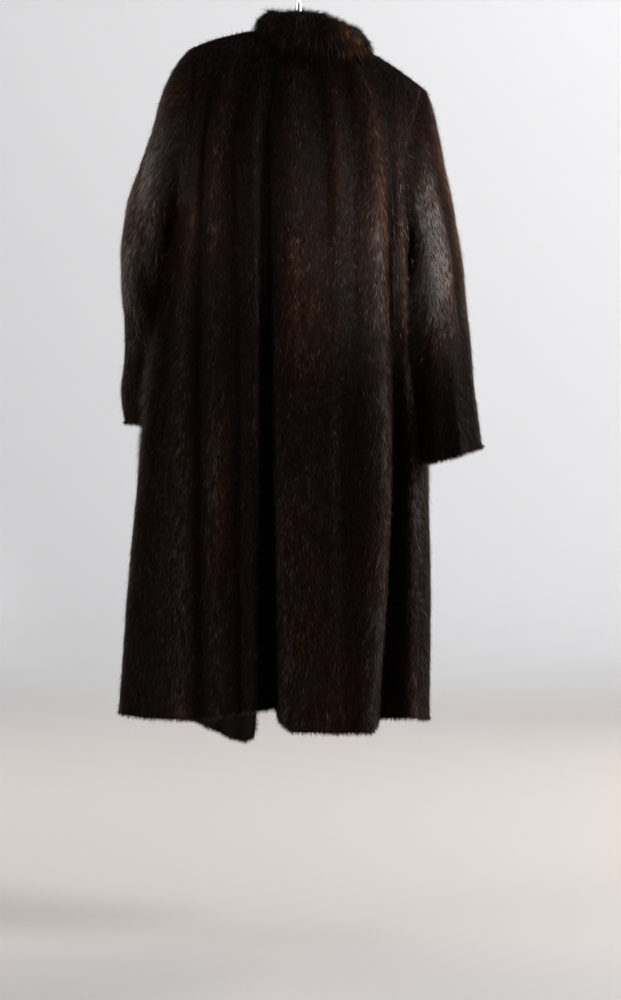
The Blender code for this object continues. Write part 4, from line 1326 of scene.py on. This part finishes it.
def fur_finish(finish):
    """Hair: the lock's tone sets the colour, with its painted sheen and shade, redder in places, and darker
    at the roots, partly as painted shade deep in the fur.
    """
    values = {
        "Roughness": finish.roughness,
        "Specular IOR Level": finish.specular,
        "Sheen Weight": FUR_SHEEN,
        "Sheen Roughness": FUR_SHEEN_ROUGHNESS,
        "Sheen Tint": FUR_SHEEN_TINT,
    }
    made, tree, sockets = principled(finish.name, values)
    tone, warm, height = (
        add_node(tree, "ShaderNodeAttribute", attribute_name=name).outputs["Fac"]
        for name in ("tone", "warm", "height")
    )
    mix = {"data_type": "RGBA", "blend_type": "MULTIPLY"}
    warmed = add_node(tree, "ShaderNodeMix", {"B": (*WARM, 1.0)}, **mix)
    tree.links.new(warm, warmed.inputs["Factor"])
    tree.links.new(add_ramp(tree, finish.stops, tone), warmed.inputs["A"])
    mixed = add_node(tree, "ShaderNodeMix", {"Factor": 1.0}, **mix)
    tree.links.new(warmed.outputs["Result"], mixed.inputs["A"])
    tree.links.new(add_ramp(tree, ROOT_TO_TIP, height), mixed.inputs["B"])
    tree.links.new(mixed.outputs["Result"], sockets["Base Color"])
    return made


def pelt_finish(finish):
    """A face of the pelts: its grain sets both the colour and the relief."""
    values = {"Roughness": finish.roughness, "Specular IOR Level": finish.specular}
    made, tree, sockets = principled(finish.name, values)
    grain = add_grain(tree, finish.scales, finish.detail)
    bump = add_node(tree, "ShaderNodeBump", {"Strength": finish.strength, "Distance": finish.depth})
    tree.links.new(grain, bump.inputs["Height"])
    tree.links.new(bump.outputs["Normal"], sockets["Normal"])
    tree.links.new(add_ramp(tree, finish.stops, grain), sockets["Base Color"])
    return made


def finish_hanger():
    """Finer surfaces for the hanger, its ferrule and hook: the grain varies their roughness."""
    for finish in (PLASTIC, STEEL):
        values = {"Base Color": finish.colour, "Metallic": finish.metallic}
        made, tree, sockets = principled(finish.name, values)
        least, most = finish.roughness
        rough = add_node(tree, "ShaderNodeMapRange", {"To Min": least, "To Max": most})
        grain = add_grain(tree, (finish.scale,) * 3, HARD_DETAIL)
        tree.links.new(grain, rough.inputs["Value"])
        tree.links.new(rough.outputs["Result"], sockets["Roughness"])
        for name in finish.nodes:
            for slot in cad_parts[name].material_slots:
                slot.material = made


def dress_coat():
    pelt_faces = [pelt_finish(UNDERFUR), pelt_finish(LEATHER)]
    finishes = {finish.name: fur_finish(finish) for finish in FUR_FINISHES}
    seed = FIRST_SEED
    for name, patch in coat_patches().items():
        pelt = make_pelt(patch, pelt_faces)
        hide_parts(name)
        pieces = [make_edge(patch, seed, finishes["pile"])]
        for growth in COLLAR_GROWTHS if name == "collar" else BODY_GROWTHS:
            count = int(patch.area * growth.density)
            finish = finishes[growth.finish]
            for part in ("_left", "_right") if name == "back" else ("",):
                seed += 1
                piece_name = name + growth.ending + part
                pieces.append(make_hairs(patch, piece_name, growth.kind, count, seed, finish, part))


def make_floor():
    """The floor and the wall that it sweeps up into, as one surface."""
    profile = [(radius, FLOOR_Z) for radius in (*FLOOR_RADII, ROOM_RADIUS - ROOM_BEND)]
    for step in range(1, BEND_STEPS + 1):
        angle = math.pi / 2 * step / BEND_STEPS
        radius = ROOM_RADIUS - ROOM_BEND * (1 - math.sin(angle))
        profile.append((radius, FLOOR_Z + ROOM_BEND * (1 - math.cos(angle))))
    profile.append((ROOM_RADIUS, ROOM_TOP))
    vertices = [(0.0, 0.0, FLOOR_Z)]
    for radius, z in profile:
        for side in range(ROOM_SIDES):
            angle = 2 * math.pi * side / ROOM_SIDES
            vertices.append((radius * math.cos(angle), radius * math.sin(angle), z))
    faces = [(0, 1 + side, 1 + (side + 1) % ROOM_SIDES) for side in range(ROOM_SIDES)]
    for low in range(1, len(vertices) - ROOM_SIDES, ROOM_SIDES):
        for side in range(ROOM_SIDES):
            after = (side + 1) % ROOM_SIDES
            faces.append((low + side, low + ROOM_SIDES + side, low + ROOM_SIDES + after, low + after))
    mesh = bpy.data.meshes.new("studio_sweep")
    mesh.from_pydata(vertices, [], faces)
    mesh.shade_smooth()
    paper = {"Base Color": PAPER_GREY, "Roughness": PAPER_ROUGHNESS}
    mesh.materials.append(principled("studio_paper", paper)[0])
    linked("studio_sweep", mesh)


def aimed(name, data, place, target):
    """An object in the scene that looks from its place at the target."""
    made = linked(name, data)
    made.location = place
    made.rotation_mode = "QUATERNION"
    made.rotation_quaternion = (Vector(target) - Vector(place)).to_track_quat("-Z", "Y")
    return made


def add_area(light):
    data = bpy.data.lights.new(light.name, "AREA")
    data.shape = "RECTANGLE"
    data.size, data.size_y = light.size
    data.energy = light.power
    data.color = light.colour
    aimed(light.name, data, light.place, light.target)


def add_spot(light):
    data = bpy.data.lights.new(light.name, "SPOT")
    data.spot_size = math.radians(light.cone)
    data.spot_blend = 1.0
    data.shadow_soft_size = SHEEN_LIGHT_SIZE
    data.energy = light.power
    aimed(light.name, data, light.place, light.target)


def make_room():
    make_floor()
    for light in COAT_LIGHTS:
        add_area(light)
    for light in SHEEN_LIGHTS:
        add_spot(light)
    for light in ROOM_LIGHTS:
        add_area(light)
    scene = bpy.context.scene
    scene.world = bpy.data.worlds.new("room")
    scene.world.use_nodes = True
    background = scene.world.node_tree.nodes["Background"]
    background.inputs["Color"].default_value = WORLD_GREY
    background.inputs["Strength"].default_value = WORLD_STRENGTH
    scene.view_settings.view_transform = "Standard"
    data = bpy.data.cameras.new("photo_camera")
    data.sensor_fit = "VERTICAL"
    data.sensor_height = SENSOR
    data.sensor_width = SENSOR
    data.lens = CAMERA_LENS
    data.clip_end = CLIP_END
    scene.camera = aimed("photo_camera", data, CAMERA_PLACE, CAMERA_TARGET)


make_room()
dress_coat()
finish_hanger()
